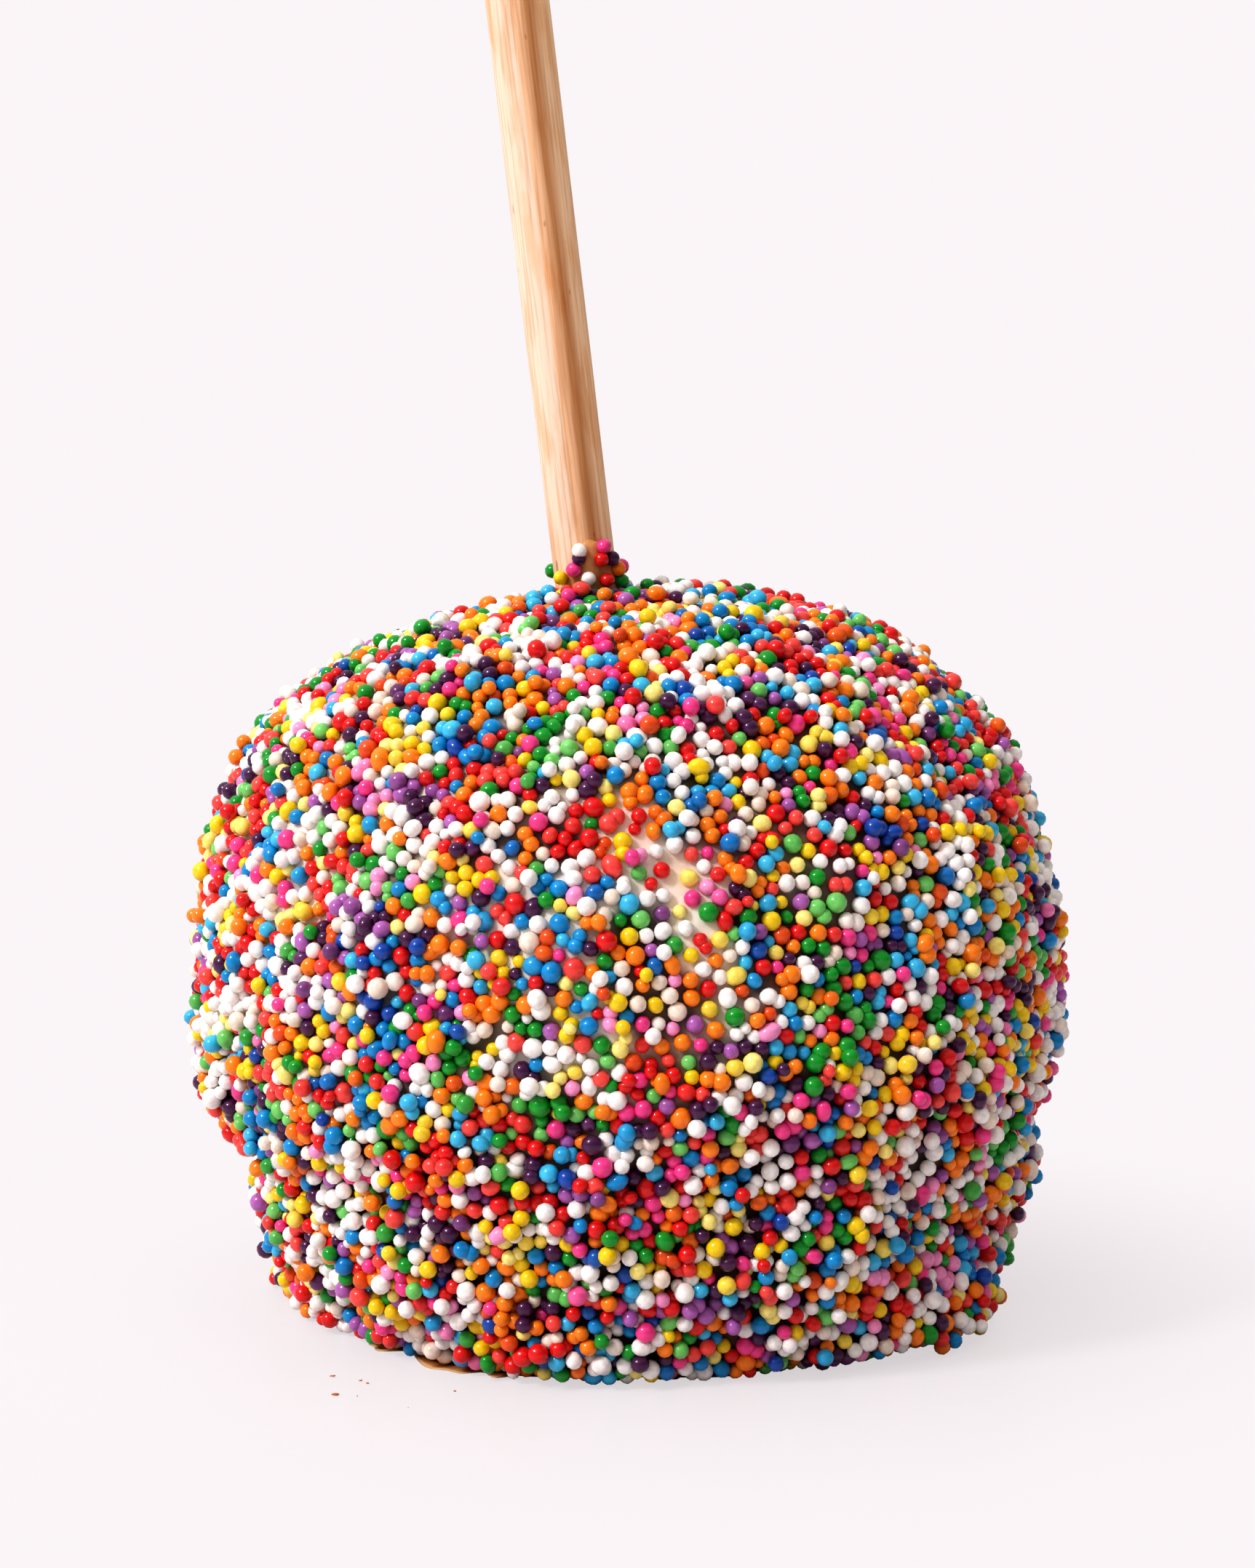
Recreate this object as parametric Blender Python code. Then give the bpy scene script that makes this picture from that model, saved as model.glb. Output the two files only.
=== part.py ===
"""An apple dipped in white chocolate and rolled in nonpareils, on a wooden stick.

Metres, +Z up. The apple rests on the flat foot that set under it, and the origin is on that foot, under the middle
of the whole. Azimuth 0 is +X and runs towards +Y. The stick leans left and towards the front, which is -Y.
"""
import math
import random

import bmesh
import bpy
from mathutils import Euler, Vector
from mathutils.bvhtree import BVHTree

MM = 0.001

# The coat is a squat rounded form about its heart, cut off flat by the table.
HEART = Vector((0, 0, 28.5 * MM))  # on the axis, level with the widest part
BELLY_RADIUS = 40.4 * MM
TOP_RISE = 39.2 * MM  # from the heart to the top
TOP_SQUARENESS = 2.45  # 2 is an ellipse, more is squarer
FOOT_DROP = 44.0 * MM  # from the heart to where the lower half would close
FOOT_SQUARENESS = 2.3

# Where the coat swells (+) or draws in (-): the azimuth and elevation seen from the heart in degrees, how far that
# reaches round and up as a share of the way from the heart, and the push outwards.
SWELLINGS = (
    (180, 36, 0.60, 0.15, 1.4 * MM),  # left shoulder
    (180, 54, 0.55, 0.14, 0.4 * MM),
    (180, 70, 0.35, 0.20, -1.2 * MM),  # the top falls away to the left
    (180, -9, 0.70, 0.10, 0.6 * MM),  # left bulge
    (180, -20, 0.70, 0.11, -5.1 * MM),  # the step in below it
    (180, -32, 0.70, 0.12, -2.0 * MM),
    (190, -35.5, 0.60, 0.03, -1.0 * MM),  # crease above the foot
    (0, 58, 0.50, 0.14, 1.1 * MM),  # right shoulder
    (0, 38, 0.60, 0.16, 0.7 * MM),
    (0, -12, 0.80, 0.12, -0.8 * MM),  # the right side tapers to the foot
    (0, -26, 0.80, 0.16, -1.8 * MM),
    (218, -41, 0.35, 0.10, -3.0 * MM),  # the foot is cut back at the front left
    (-38, -34, 0.24, 0.07, 3.0 * MM),  # lip that stands off the table
    (-38, -43, 0.32, 0.06, -3.5 * MM),
)
# Slow unevenness of the coat: waves round it, waves from foot to top, phase, and height.
RIPPLES = (
    (5, 9.0, 0.5, 0.30 * MM),
    (8, -6.0, 1.0, 0.22 * MM),
)

# The nonpareils bed in the coat. Their fine ones are one even layer here, and the largest are true spheres on it.
FINE_LAYER = 0.75 * MM
LARGE_COUNT = 258
LARGE_RADIUS = (0.92 * MM, 1.08 * MM)
LARGE_PROUD = 0.15 * MM  # how far a large one's middle lies above the fine layer
LARGE_HOLD = 0.45  # a middle further from the layer than this share of its radius has nothing to hold it
LARGE_SCATTER = 0.022  # radians that a site strays from the even spiral
FLOOR_CLEARANCE = 0.12 * MM
SEED = 11

CORE_SIDES = 38
CORE_RINGS = 17
RINGS_TO_FOOT = 1.35  # over 1 draws the rings together towards the foot, where the form changes fastest

# The stick is a wooden dowel pushed into the apple's core, which the coat climbs a little.
STICK_RADIUS = 3.0 * MM
STICK_LENGTH = 140.0 * MM
STICK_SIDES = 28
STICK_CHAMFER = 0.45 * MM
STICK_ENTRY = Vector((-4.0 * MM, -0.5 * MM, 70.0 * MM))  # a point on its axis, level with the top
STICK_SUNK = 57.0 * MM  # of its length below that point
LEAN_LEFT = math.radians(6.65)
LEAN_FORWARD = math.radians(5.0)
GAP = 0.3 * MM  # clearance round the stick

# Where the coat climbs the stick: heights along it from the entry point, and radii. The top edge is slanted.
COLLAR_SIDES = 22
COLLAR_PROFILE = (
    (-6.0 * MM, 9.0 * MM),
    (-1.6 * MM, 6.0 * MM),
    (0.4 * MM, 4.7 * MM),
    (2.2 * MM, 4.0 * MM),
)
COLLAR_SLANT = 1.7 * MM  # how much higher the top edge is on its high side
COLLAR_HIGH_SIDE = math.radians(-50)
COLLAR_KEEP_OUT = 5.6 * MM
COLLAR_BEADS = 7
COLLAR_BEAD_RADIUS = (0.82 * MM, 0.92 * MM)
COLLAR_BEAD_STEP = 0.36  # radians from one to the next
COLLAR_BEAD_ROWS = ((2.0 * MM, 4.15 * MM), (0.1 * MM, 4.75 * MM))  # height and distance from the stick's axis

GOLDEN_ANGLE = math.pi * (3 - math.sqrt(5))


def direction(azimuth, elevation):
    level = math.cos(elevation)
    return Vector((level * math.cos(azimuth), level * math.sin(azimuth), math.sin(elevation)))


def plain_reach(rise, level):
    """How far the even form reaches from the heart, where rise and level are the direction's two parts."""
    if rise > 0:
        height, power = TOP_RISE, TOP_SQUARENESS
    else:
        height, power = FOOT_DROP, FOOT_SQUARENESS
    return ((level / BELLY_RADIUS) ** power + (abs(rise) / height) ** power) ** (-1 / power)


def coat_reach(way):
    """How far the coat's outside is from the heart in this direction."""
    level = math.hypot(way.x, way.y)
    reach = plain_reach(way.z, level)
    for azimuth, elevation, round_share, up_share, push in SWELLINGS:
        middle = direction(math.radians(azimuth), math.radians(elevation))
        aside = (way.xy - middle.xy).length / round_share
        above = (way.z - middle.z) / up_share
        reach += push * math.exp(-aside * aside - above * above)
    around = math.atan2(way.y, way.x)
    for waves_round, waves_up, phase, height in RIPPLES:
        reach += height * level * level * math.sin(waves_round * around + waves_up * way.z + phase)
    return reach


def layer_point(azimuth, elevation):
    """A point of the fine layer's outside."""
    way = direction(azimuth, elevation)
    return HEART + way * (coat_reach(way) + FINE_LAYER)


def foot_elevation(azimuth):
    """The elevation at which the layer meets the table, found by halving."""
    low, high = math.radians(-80), math.radians(-10)
    for _ in range(40):
        middle = (low + high) / 2
        if layer_point(azimuth, middle).z > 0:
            high = middle
        else:
            low = middle
    return high


def stick_direction():
    return Vector((-math.tan(LEAN_LEFT), -math.tan(LEAN_FORWARD), 1)).normalized()


def on_stick(along):
    """A point on the stick's axis, this far above its entry into the apple."""
    return STICK_ENTRY + stick_direction() * along


def distance_from_stick(point):
    offset = point - STICK_ENTRY
    return (offset - stick_direction() * offset.dot(stick_direction())).length


def material(name, colour, roughness):
    made = bpy.data.materials.new(name)
    made.use_nodes = True
    shader = made.node_tree.nodes["Principled BSDF"]
    shader.inputs["Base Color"].default_value = (*colour, 1)
    shader.inputs["Roughness"].default_value = roughness
    shader.inputs["Metallic"].default_value = 0
    return made


def add_object(name, mesh, finish=None):
    made = bpy.data.objects.new(name, mesh)
    bpy.context.scene.collection.objects.link(made)
    if finish:
        mesh.materials.append(finish)
    return made


def mesh_from(name, build):
    """A mesh that build(bm) has filled."""
    mesh = bpy.data.meshes.new(name)
    bm = bmesh.new()
    build(bm)
    bmesh.ops.recalc_face_normals(bm, faces=bm.faces)
    bm.to_mesh(mesh)
    bm.free()
    return mesh


def core(bm):
    """The layer's closed outside: a flat foot, rings up to the top and one point there."""
    rings = []
    for ring in range(CORE_RINGS):
        share = (ring / CORE_RINGS) ** RINGS_TO_FOOT
        corners = []
        for side in range(CORE_SIDES):
            azimuth = 2 * math.pi * side / CORE_SIDES
            low = foot_elevation(azimuth)
            corner = layer_point(azimuth, low + (math.pi / 2 - low) * share)
            if ring == 0:
                corner.z = 0
            corners.append(bm.verts.new(corner))
        rings.append(corners)
    for lower, upper in zip(rings, rings[1:]):
        for side in range(CORE_SIDES):
            after = (side + 1) % CORE_SIDES
            bm.faces.new((lower[side], lower[after], upper[after], upper[side]))
    top = bm.verts.new(layer_point(0, math.pi / 2))
    for side in range(CORE_SIDES):
        bm.faces.new((rings[-1][side], rings[-1][(side + 1) % CORE_SIDES], top))
    bm.faces.new(reversed(rings[0]))


def stick_hole(bm):
    """The cutter for the blind hole, wider than the stick by the gap and open above the collar."""
    bottom = -STICK_SUNK - GAP
    top = COLLAR_PROFILE[-1][0] + COLLAR_SLANT + 2 * MM
    turn = stick_direction().to_track_quat("Z", "Y").to_matrix().to_4x4()
    turn.translation = on_stick((bottom + top) / 2)
    wide = STICK_RADIUS + GAP
    bmesh.ops.create_cone(
        bm, cap_ends=True, segments=STICK_SIDES, radius1=wide, radius2=wide, depth=top - bottom, matrix=turn
    )


def large_sites(draw, layer):
    """Middles and radii of the largest nonpareils on the layer, a BVH tree of its faces. They follow a spiral that
    gives each the same share of the surface."""
    steps = 400
    lowest = math.radians(-42)
    areas = [0.0]
    for step in range(steps):
        elevation = lowest + (math.pi / 2 - lowest) * (step + 0.5) / steps
        reach = plain_reach(math.sin(elevation), math.cos(elevation))
        areas.append(areas[-1] + reach * reach * math.cos(elevation))
    sites = []
    step = 0
    for number in range(LARGE_COUNT):
        wanted = areas[-1] * (number + 0.5) / LARGE_COUNT
        while areas[step + 1] < wanted:
            step += 1
        elevation = lowest + (math.pi / 2 - lowest) * (step + 0.5) / steps
        azimuth = number * GOLDEN_ANGLE + draw.uniform(-1, 1) * LARGE_SCATTER / max(math.cos(elevation), 0.2)
        elevation += draw.uniform(-1, 1) * LARGE_SCATTER
        radius = draw.uniform(*LARGE_RADIUS)
        way = direction(azimuth, elevation)
        middle = layer.ray_cast(HEART, way)[0] + way * LARGE_PROUD
        middle.z = max(middle.z, radius + FLOOR_CLEARANCE)
        clear_of_collar = distance_from_stick(middle) > COLLAR_KEEP_OUT + radius
        if clear_of_collar and layer.find_nearest(middle)[3] < LARGE_HOLD * radius:
            sites.append((middle, radius))
    return sites


def off_stick(angle, along, distance):
    """A point this far from the stick's axis, on the side that faces the azimuth."""
    up = stick_direction()
    level = Vector((math.cos(angle), math.sin(angle), 0))
    return on_stick(along) + (level - up * up.dot(level)).normalized() * distance


def collar(bm):
    """The coat's climb up the stick, as rings round its axis."""
    rings = []
    for number, (height, radius) in enumerate(COLLAR_PROFILE):
        slant = COLLAR_SLANT * number / (len(COLLAR_PROFILE) - 1)
        corners = []
        for side in range(COLLAR_SIDES):
            angle = 2 * math.pi * side / COLLAR_SIDES
            along = height + slant * math.cos(angle - COLLAR_HIGH_SIDE)
            corners.append(bm.verts.new(off_stick(angle, along, radius)))
        rings.append(corners)
    for lower, upper in zip(rings, rings[1:]):
        for side in range(COLLAR_SIDES):
            after = (side + 1) % COLLAR_SIDES
            bm.faces.new((lower[side], lower[after], upper[after], upper[side]))
    bm.faces.new(rings[-1])
    bm.faces.new(reversed(rings[0]))


def collar_sites(draw):
    """The nonpareils that climbed the stick on its high side, in two staggered rows."""
    sites = []
    for number in range(COLLAR_BEADS):
        along, distance = COLLAR_BEAD_ROWS[number % 2]
        angle = COLLAR_HIGH_SIDE + (number - (COLLAR_BEADS - 1) / 2) * COLLAR_BEAD_STEP
        sites.append((off_stick(angle, along, distance), draw.uniform(*COLLAR_BEAD_RADIUS)))
    return sites


def bead_collection(sites, draw):
    """One low sphere for each site, each turned its own way."""
    beads = bpy.data.collections.new("beads")
    bpy.context.scene.collection.children.link(beads)
    for number, (middle, radius) in enumerate(sites):
        turn = Euler([draw.uniform(0, math.tau) for _ in range(3)]).to_matrix().to_4x4()
        turn.translation = middle

        def ball(bm):
            bmesh.ops.create_icosphere(bm, subdivisions=1, radius=radius, matrix=turn)

        bead = bpy.data.objects.new(f"bead_{number:03d}", mesh_from("bead", ball))
        beads.objects.link(bead)
    return beads


def boolean(piece, operation, operand=None, collection=None):
    made = piece.modifiers.new(operation.lower(), "BOOLEAN")
    made.operation = operation
    made.solver = "EXACT"
    if collection:
        made.operand_type = "COLLECTION"
        made.collection = collection
    else:
        made.object = operand


def apply_modifiers(piece):
    """Makes what the modifiers show the piece's own mesh."""
    shown = piece.evaluated_get(bpy.context.evaluated_depsgraph_get())
    finished = bpy.data.meshes.new_from_object(shown)
    piece.modifiers.clear()
    piece.data = finished


def remove_collection(collection):
    for member in list(collection.objects):
        bpy.data.objects.remove(member)
    bpy.data.collections.remove(collection)


def coated_apple():
    """The coated apple with its collar and largest nonpareils, and the blind hole that the stick fills."""
    draw = random.Random(SEED)
    coat = material("white_chocolate", (0.90, 0.83, 0.74), 0.35)
    apple = add_object("coated_apple", mesh_from("core", core), coat)
    corners = [vert.co for vert in apple.data.vertices]
    layer = BVHTree.FromPolygons(corners, [face.vertices for face in apple.data.polygons])

    toppings = bead_collection(large_sites(draw, layer) + collar_sites(draw), draw)
    toppings.objects.link(bpy.data.objects.new("collar", mesh_from("collar", collar)))
    boolean(apple, "UNION", collection=toppings)
    apply_modifiers(apple)
    remove_collection(toppings)

    cutter = add_object("stick_hole", mesh_from("stick_hole", stick_hole))
    boolean(apple, "DIFFERENCE", operand=cutter)
    apply_modifiers(apple)
    bpy.data.objects.remove(cutter)
    apple.data.shade_smooth()
    apple.data.set_sharp_from_angle(angle=math.radians(50))
    return apple


def stick():
    """The dowel, with the small chamfers that its ends are cut with."""

    def dowel(bm):
        bmesh.ops.create_cone(
            bm, cap_ends=True, segments=STICK_SIDES, radius1=STICK_RADIUS, radius2=STICK_RADIUS, depth=STICK_LENGTH,
        )
        ends = [edge for edge in bm.edges if len({round(vert.co.z, 6) for vert in edge.verts}) == 1]
        bmesh.ops.bevel(bm, geom=ends, offset=STICK_CHAMFER, segments=2, affect="EDGES", profile=0.5)

    made = add_object("stick", mesh_from("stick", dowel), material("birch", (0.80, 0.62, 0.42), 0.6))
    made.location = on_stick(STICK_LENGTH / 2 - STICK_SUNK)
    made.rotation_euler = stick_direction().to_track_quat("Z", "Y").to_euler()
    made.data.shade_smooth()
    made.data.set_sharp_from_angle(angle=math.radians(30))
    return made


def stand_at_origin(pieces):
    """Moves the pieces so that the middle of the box round them all is over the origin."""
    bpy.context.view_layer.update()
    corners = [piece.matrix_world @ vert.co for piece in pieces for vert in piece.data.vertices]
    middle = [(min(c[axis] for c in corners) + max(c[axis] for c in corners)) / 2 for axis in range(2)]
    for piece in pieces:
        piece.location -= Vector((*middle, 0))


def main():
    for old in list(bpy.data.objects):
        bpy.data.objects.remove(old)
    stand_at_origin([coated_apple(), stick()])


main()
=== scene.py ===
"""The looks of a coated apple on a stick: white chocolate, caramel, sugar nonpareils and a birch dowel.

It is laid out as a Blender add-on and run as a script. The packed solids are the fixed frame. Every piece
lies on the form that the solids were made from, which is repeated here. Metres, +Z up, and the front is -Y.
"""
import math
from functools import lru_cache
from types import SimpleNamespace

import bmesh
import bpy
import numpy as np
from mathutils import Matrix, Vector
from mathutils.kdtree import KDTree


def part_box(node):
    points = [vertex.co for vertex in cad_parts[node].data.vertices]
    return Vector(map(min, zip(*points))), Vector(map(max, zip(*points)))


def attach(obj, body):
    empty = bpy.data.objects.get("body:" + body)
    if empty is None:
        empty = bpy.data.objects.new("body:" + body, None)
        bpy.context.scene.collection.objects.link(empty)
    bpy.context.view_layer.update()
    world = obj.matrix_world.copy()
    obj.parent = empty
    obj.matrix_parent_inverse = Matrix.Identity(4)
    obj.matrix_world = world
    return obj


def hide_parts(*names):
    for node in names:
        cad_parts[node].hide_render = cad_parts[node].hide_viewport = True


bl_info = {
    "name": "Coated Apple",
    "version": (1, 0, 0),
    "blender": (4, 5, 0),
    "location": "View3D > Sidebar > Coated Apple",
    "description": "Dresses an apple on a stick in white chocolate, caramel and nonpareils",
    "category": "Object",
}

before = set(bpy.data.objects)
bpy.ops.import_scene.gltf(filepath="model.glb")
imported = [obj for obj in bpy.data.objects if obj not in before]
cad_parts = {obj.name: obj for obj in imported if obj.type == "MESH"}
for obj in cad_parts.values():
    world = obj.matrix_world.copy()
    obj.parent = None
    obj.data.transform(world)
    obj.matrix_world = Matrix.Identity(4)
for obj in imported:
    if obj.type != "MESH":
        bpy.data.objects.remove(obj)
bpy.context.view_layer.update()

MM = 0.001

# ---------------------------------------------------------------- the form, as the solids have it

STICK_RADIUS = 3.0 * MM
STICK_LENGTH = 140.0 * MM
STICK_CHAMFER = 0.45 * MM
STICK_SUNK = 57.0 * MM
STICK_ENTRY = Vector((-4.0 * MM, -0.5 * MM, 70.0 * MM))  # on its axis, level with the apple's top
LEAN_LEFT = math.radians(6.65)
LEAN_FORWARD = math.radians(5.0)
STICK_UP = Vector((-math.tan(LEAN_LEFT), -math.tan(LEAN_FORWARD), 1)).normalized()

# The solids stand over the origin by the middle of their box. How far that moved them shows in the stick's.
STICK_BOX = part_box("stick")
SHIFT = (STICK_BOX[0] + STICK_BOX[1]) / 2 - (STICK_ENTRY + STICK_UP * (STICK_LENGTH / 2 - STICK_SUNK))
ENTRY = STICK_ENTRY + SHIFT

HEART = np.array(Vector((0, 0, 28.5 * MM)) + SHIFT)
BELLY_RADIUS = 40.4 * MM
TOP_RISE = 39.2 * MM
TOP_SQUARENESS = 2.45
FOOT_DROP = 44.0 * MM
FOOT_SQUARENESS = 2.3

# Azimuth and elevation from the heart in degrees, how far it reaches round and up, and the push outwards.
SWELLINGS = (
    (180, 36, 0.60, 0.15, 1.4 * MM),  # left shoulder
    (180, 54, 0.55, 0.14, 0.4 * MM),
    (180, 70, 0.35, 0.20, -1.2 * MM),  # the top falls away to the left
    (180, -9, 0.70, 0.10, 0.6 * MM),  # left bulge
    (180, -20, 0.70, 0.11, -5.1 * MM),  # the step in below it
    (180, -32, 0.70, 0.12, -2.0 * MM),
    (190, -35.5, 0.60, 0.03, -1.0 * MM),  # crease above the foot
    (0, 58, 0.50, 0.14, 1.1 * MM),  # right shoulder
    (0, 38, 0.60, 0.16, 0.7 * MM),
    (0, -12, 0.80, 0.12, -0.8 * MM),  # the right side tapers to the foot
    (0, -26, 0.80, 0.16, -1.8 * MM),
    (218, -41, 0.35, 0.10, -3.0 * MM),  # the foot is cut back at the front left
    (-38, -34, 0.24, 0.07, 3.0 * MM),  # lip that stands off the table
    (-38, -43, 0.32, 0.06, -3.5 * MM),
)
# Waves round the coat, waves from foot to top, phase, and height.
RIPPLES = (
    (5, 9.0, 0.5, 0.30 * MM),
    (8, -6.0, 1.0, 0.22 * MM),
)

# ---------------------------------------------------------------- the chocolate under the nonpareils

# Where it shows: azimuth and elevation in degrees, reach, and how far. There they lie fewer and deeper.
BARE = (
    (-98, 17, 0.40, 0.8),
    (-150, 22, 0.45, 0.7),
    (-106, 24, 0.16, 1.0),
    (-101, 15, 0.15, 1.0),
    (-91, 9, 0.13, 1.0),
    (-78, 16, 0.17, 1.0),
    (-122, 32, 0.12, 1.0),
    (-113, 12, 0.12, 1.0),
)
BARE_RISE = 0.35 * MM
BARE_SUNK = 0.35  # of a radius
BARE_FEWER = 0.25  # share of them that is missing
BARE_PATCHES = 6  # waves that break the bare places up
BARE_PATCH_LENGTH = (6.0 * MM, 14.0 * MM)
BARE_PATCH_LEVEL = 0.75  # how far they are bare between the waves, and how much a wave changes that
BARE_PATCH_DEPTH = 0.45

# Where more of it ran over them beside the stick: azimuth, elevation and reach.
GLAZE = ((-137, 77, 0.06), (-158, 73, 0.08), (-72, 66, 0.05))
GLAZE_RISE = 0.8 * MM
GLAZE_SUNK = 0.3  # of a radius

PILE_TOP = 0.02  # height share, seen from the heart, under which they pile up in layers
PILE_FADE = 0.26
PILE_DEPTH = 1.1 * MM  # how much deeper the chocolate lies under the piles
PILE_MORE = 0.3  # share of them that comes on top there

MELT_FROM = 0.80  # height share over which the coat was still warm
MELT_SUNK = 0.45  # of a radius
MELT_MORE = 0.1  # share of them that comes on top there

SWIRLS = 9  # small uneven waves of the coat
SWIRL_LENGTH = (5.0 * MM, 20.0 * MM)
SWIRL_HEIGHT = 0.32 * MM

FOOT_BETWEEN = (-80, -10)  # degrees of elevation
HALVINGS = 36

# ---------------------------------------------------------------- how the nonpareils lie

LAYERS = ((0, 0.08), (2.0 * MM, 0.6))  # how much higher each one starts, and how unevenly it is thrown
START_LIFT = (0.4 * MM, 1.2 * MM)
CANDIDATES = 12  # places drawn for each one that is wanted
GRAZING = 0.3  # the least that a slope's facing counts, so that steep places don't take them all
LOWEST_START = 0.3 * MM  # over the table
HOLLOWS = 0.3  # how much more unevenly they lie where they pile up
HEAP_WAVES = 7
HEAP_LENGTH = (5.0 * MM, 13.0 * MM)
BEDDING = (0.7, 1.0)  # how high over the chocolate their middles rest, in radii
SIZE_SPAN = 5  # the smallest and the largest lie so many standard deviations apart

ROUNDS = 90  # of settling
NEIGHBOUR_ROUNDS = 9  # rounds for which one list of neighbours holds
NEIGHBOUR_REACH = 2.2 * MM
PULL = 0.05 * MM  # towards the coat, a round
PUSH_SHARE = 0.36  # of an overlap that is put right in a round
LOOSE = 1.30  # shares of two radii that they keep apart, at first and in the end
TIGHT = 0.94
CROWDING = 1.6  # how many times sooner than the last round that end is reached
STICK_TOUCH = 0.8  # of a radius that they keep off the stick
FLOOR_CLEARANCE = 0.05 * MM
TINY = 1e-9  # the least length that is divided by

MERGED = 0.62  # nearer than this share of the two radii, one of them is dropped
PERCH = 1.65 * MM  # height over the chocolate above which one isn't held
PERCH_PILED = 2  # how many times more that is where they pile up
BURIED_UNDER = 0.2  # of a radius that another has to be higher, to hide a nonpareil
BURIED_SAMPLES = 8  # places round its disc at which that is looked at
BURIED_RING = 0.8  # of a radius that they are from its middle
ASKEW = (0.3, 0.5, 0.81)  # any way but straight out will do, to find one that lies along the coat

TOUCHING = 1.02  # shares of two radii within which they touch
STUCK_SHARE = 0.08  # of touching pairs that dried as one
STUCK_LEAN = 0.30  # of the way that the second of a pair moved into the first
SCALE_SPREAD = 0.045  # how unevenly wide, deep and high one is
LONG_SHARE = 0.06  # of them that are drawn out one way
LONG_STRETCH = (1.1, 1.35)
SOFT_FLATTER = 0.12  # in the warm coat at the top
SOFT_WIDER = 0.05

# How far up the stick the caramel reaches, at its lowest and highest, and on which side it is highest.
CLIMB_LOW = 68.4 * MM
CLIMB_HIGH = 74.0 * MM
CLIMB_SIDE = math.radians(-66)
CLIMB_POWER = 3.0
# The nonpareils that stuck to it: azimuth round the stick, height over the table and kind.
COLLAR = (
    (-94, 73.1 * MM, "white"),
    (-54, 73.2 * MM, "pink"),
    (-61, 72.0 * MM, "red"),
    (-96, 72.4 * MM, "purple"),
    (-40, 71.9 * MM, "purple"),
    (-106, 71.4 * MM, "pink"),
    (-130, 70.7 * MM, "yellow"),
    (-26, 70.8 * MM, "orange"),
    (-85, 70.4 * MM, "white"),
    (-55, 70.0 * MM, "red"),
    (-21, 69.6 * MM, "green"),
    (-121, 69.3 * MM, "yellow"),
    (-78, 68.8 * MM, "green"),
    (-103, 68.4 * MM, "white"),
    (-53, 68.5 * MM, "green"),
    (-137, 68.4 * MM, "red"),
)
COLLAR_BEHIND = 9
COLLAR_BEHIND_TOP = 71.0 * MM
COLLAR_SUNK = 0.85  # how far out of the stick a middle is, as a share of the radius
# Single ones that stand proud: azimuth and elevation from the heart, height over the chocolate, and kind.
STRAYS = (
    (0, 32.6, 1.5 * MM, "pink"),
    (-38, -35.7, 3.2 * MM, "blue"),
    (-129, 77.5, 1.2 * MM, "red"),
)

# Each kind of sugar: its share of all, and its deep, plain and pale shades as named in SugarColours.
KINDS = {
    "white": (0.185, ("white", "white", "white")),
    "pearl": (0.07, ("cream", "cream", "white")),
    "orange": (0.13, ("tangerine", "orange", "orange")),
    "yellow": (0.105, ("yellow", "yellow", "lemon")),
    "red": (0.16, ("red", "red", "coral")),
    "pink": (0.06, ("pink", "pink", "blush")),
    "purple": (0.11, ("plum", "plum", "lilac")),
    "green": (0.10, ("green", "green", "mint")),
    "blue": (0.11, ("navy", "blue", "sky")),
}
CLUMPING = 0.72  # how strongly like ones lie together
CLUMP_WAVES = 9
CLUMP_LENGTH = (4.0 * MM, 15.0 * MM)
PAINTED_LIGHT_WHITES_LEFT = 0.5 / (42 * MM)  # painted light: the log of the white ones' share rises by this with every metre to the left, the brightly lit side
PLACED_SHADE = 0.5  # the plain one of a kind's shades


def linear(hex_colour):
    """An sRGB hex colour as the linear red, green and blue that shaders take."""
    shares = [int(hex_colour[start:start + 2], 16) / 255 for start in (0, 2, 4)]
    return tuple(s / 12.92 if s <= 0.04045 else ((s + 0.055) / 1.055) ** 2.4 for s in shares)


def directions(azimuths, elevations):
    """Unit vectors from angles in radians."""
    level = np.cos(elevations)
    return np.stack([level * np.cos(azimuths), level * np.sin(azimuths), np.sin(elevations)], axis=-1)


def bump_at(ways, azimuth, elevation, round_share, up_share):
    """1 at this place of the coat, fading out round it."""
    middle = directions(math.radians(azimuth), math.radians(elevation))
    aside = np.linalg.norm(ways[:, :2] - middle[:2], axis=1) / round_share
    above = (ways[:, 2] - middle[2]) / up_share
    return np.exp(-aside * aside - above * above)


def coat_reach(ways):
    """How far the coat's outside is from the heart in each direction."""
    level = np.hypot(ways[:, 0], ways[:, 1])
    rise = ways[:, 2]
    height = np.where(rise > 0, TOP_RISE, FOOT_DROP)
    power = np.where(rise > 0, TOP_SQUARENESS, FOOT_SQUARENESS)
    reach = ((level / BELLY_RADIUS) ** power + (np.abs(rise) / height) ** power) ** (-1 / power)
    for azimuth, elevation, round_share, up_share, push in SWELLINGS:
        reach += push * bump_at(ways, azimuth, elevation, round_share, up_share)
    around = np.arctan2(ways[:, 1], ways[:, 0])
    for waves_round, waves_up, phase, swell in RIPPLES:
        reach += swell * level * level * np.sin(waves_round * around + waves_up * rise + phase)
    return reach


def waves(points, count, lengths, seed):
    """A smooth uneven field, about -1 to 1, made of plane waves that run every way."""
    draw = np.random.default_rng(seed)
    total = np.zeros(len(points))
    for _ in range(count):
        way = draw.normal(size=3)
        way *= 2 * math.pi / (draw.uniform(*lengths) * np.linalg.norm(way))
        total += np.sin(points @ way + draw.uniform(0, 2 * math.pi))
    return total / math.sqrt(count / 2)


def smooth(share):
    """A share from 0 to 1, with soft ends."""
    share = np.clip(share, 0, 1)
    return share * share * (3 - 2 * share)


def piled(ways):
    """From 0 to 1, how far the nonpareils lie in layers here."""
    return smooth((PILE_TOP - ways[:, 2]) / PILE_FADE)


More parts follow.
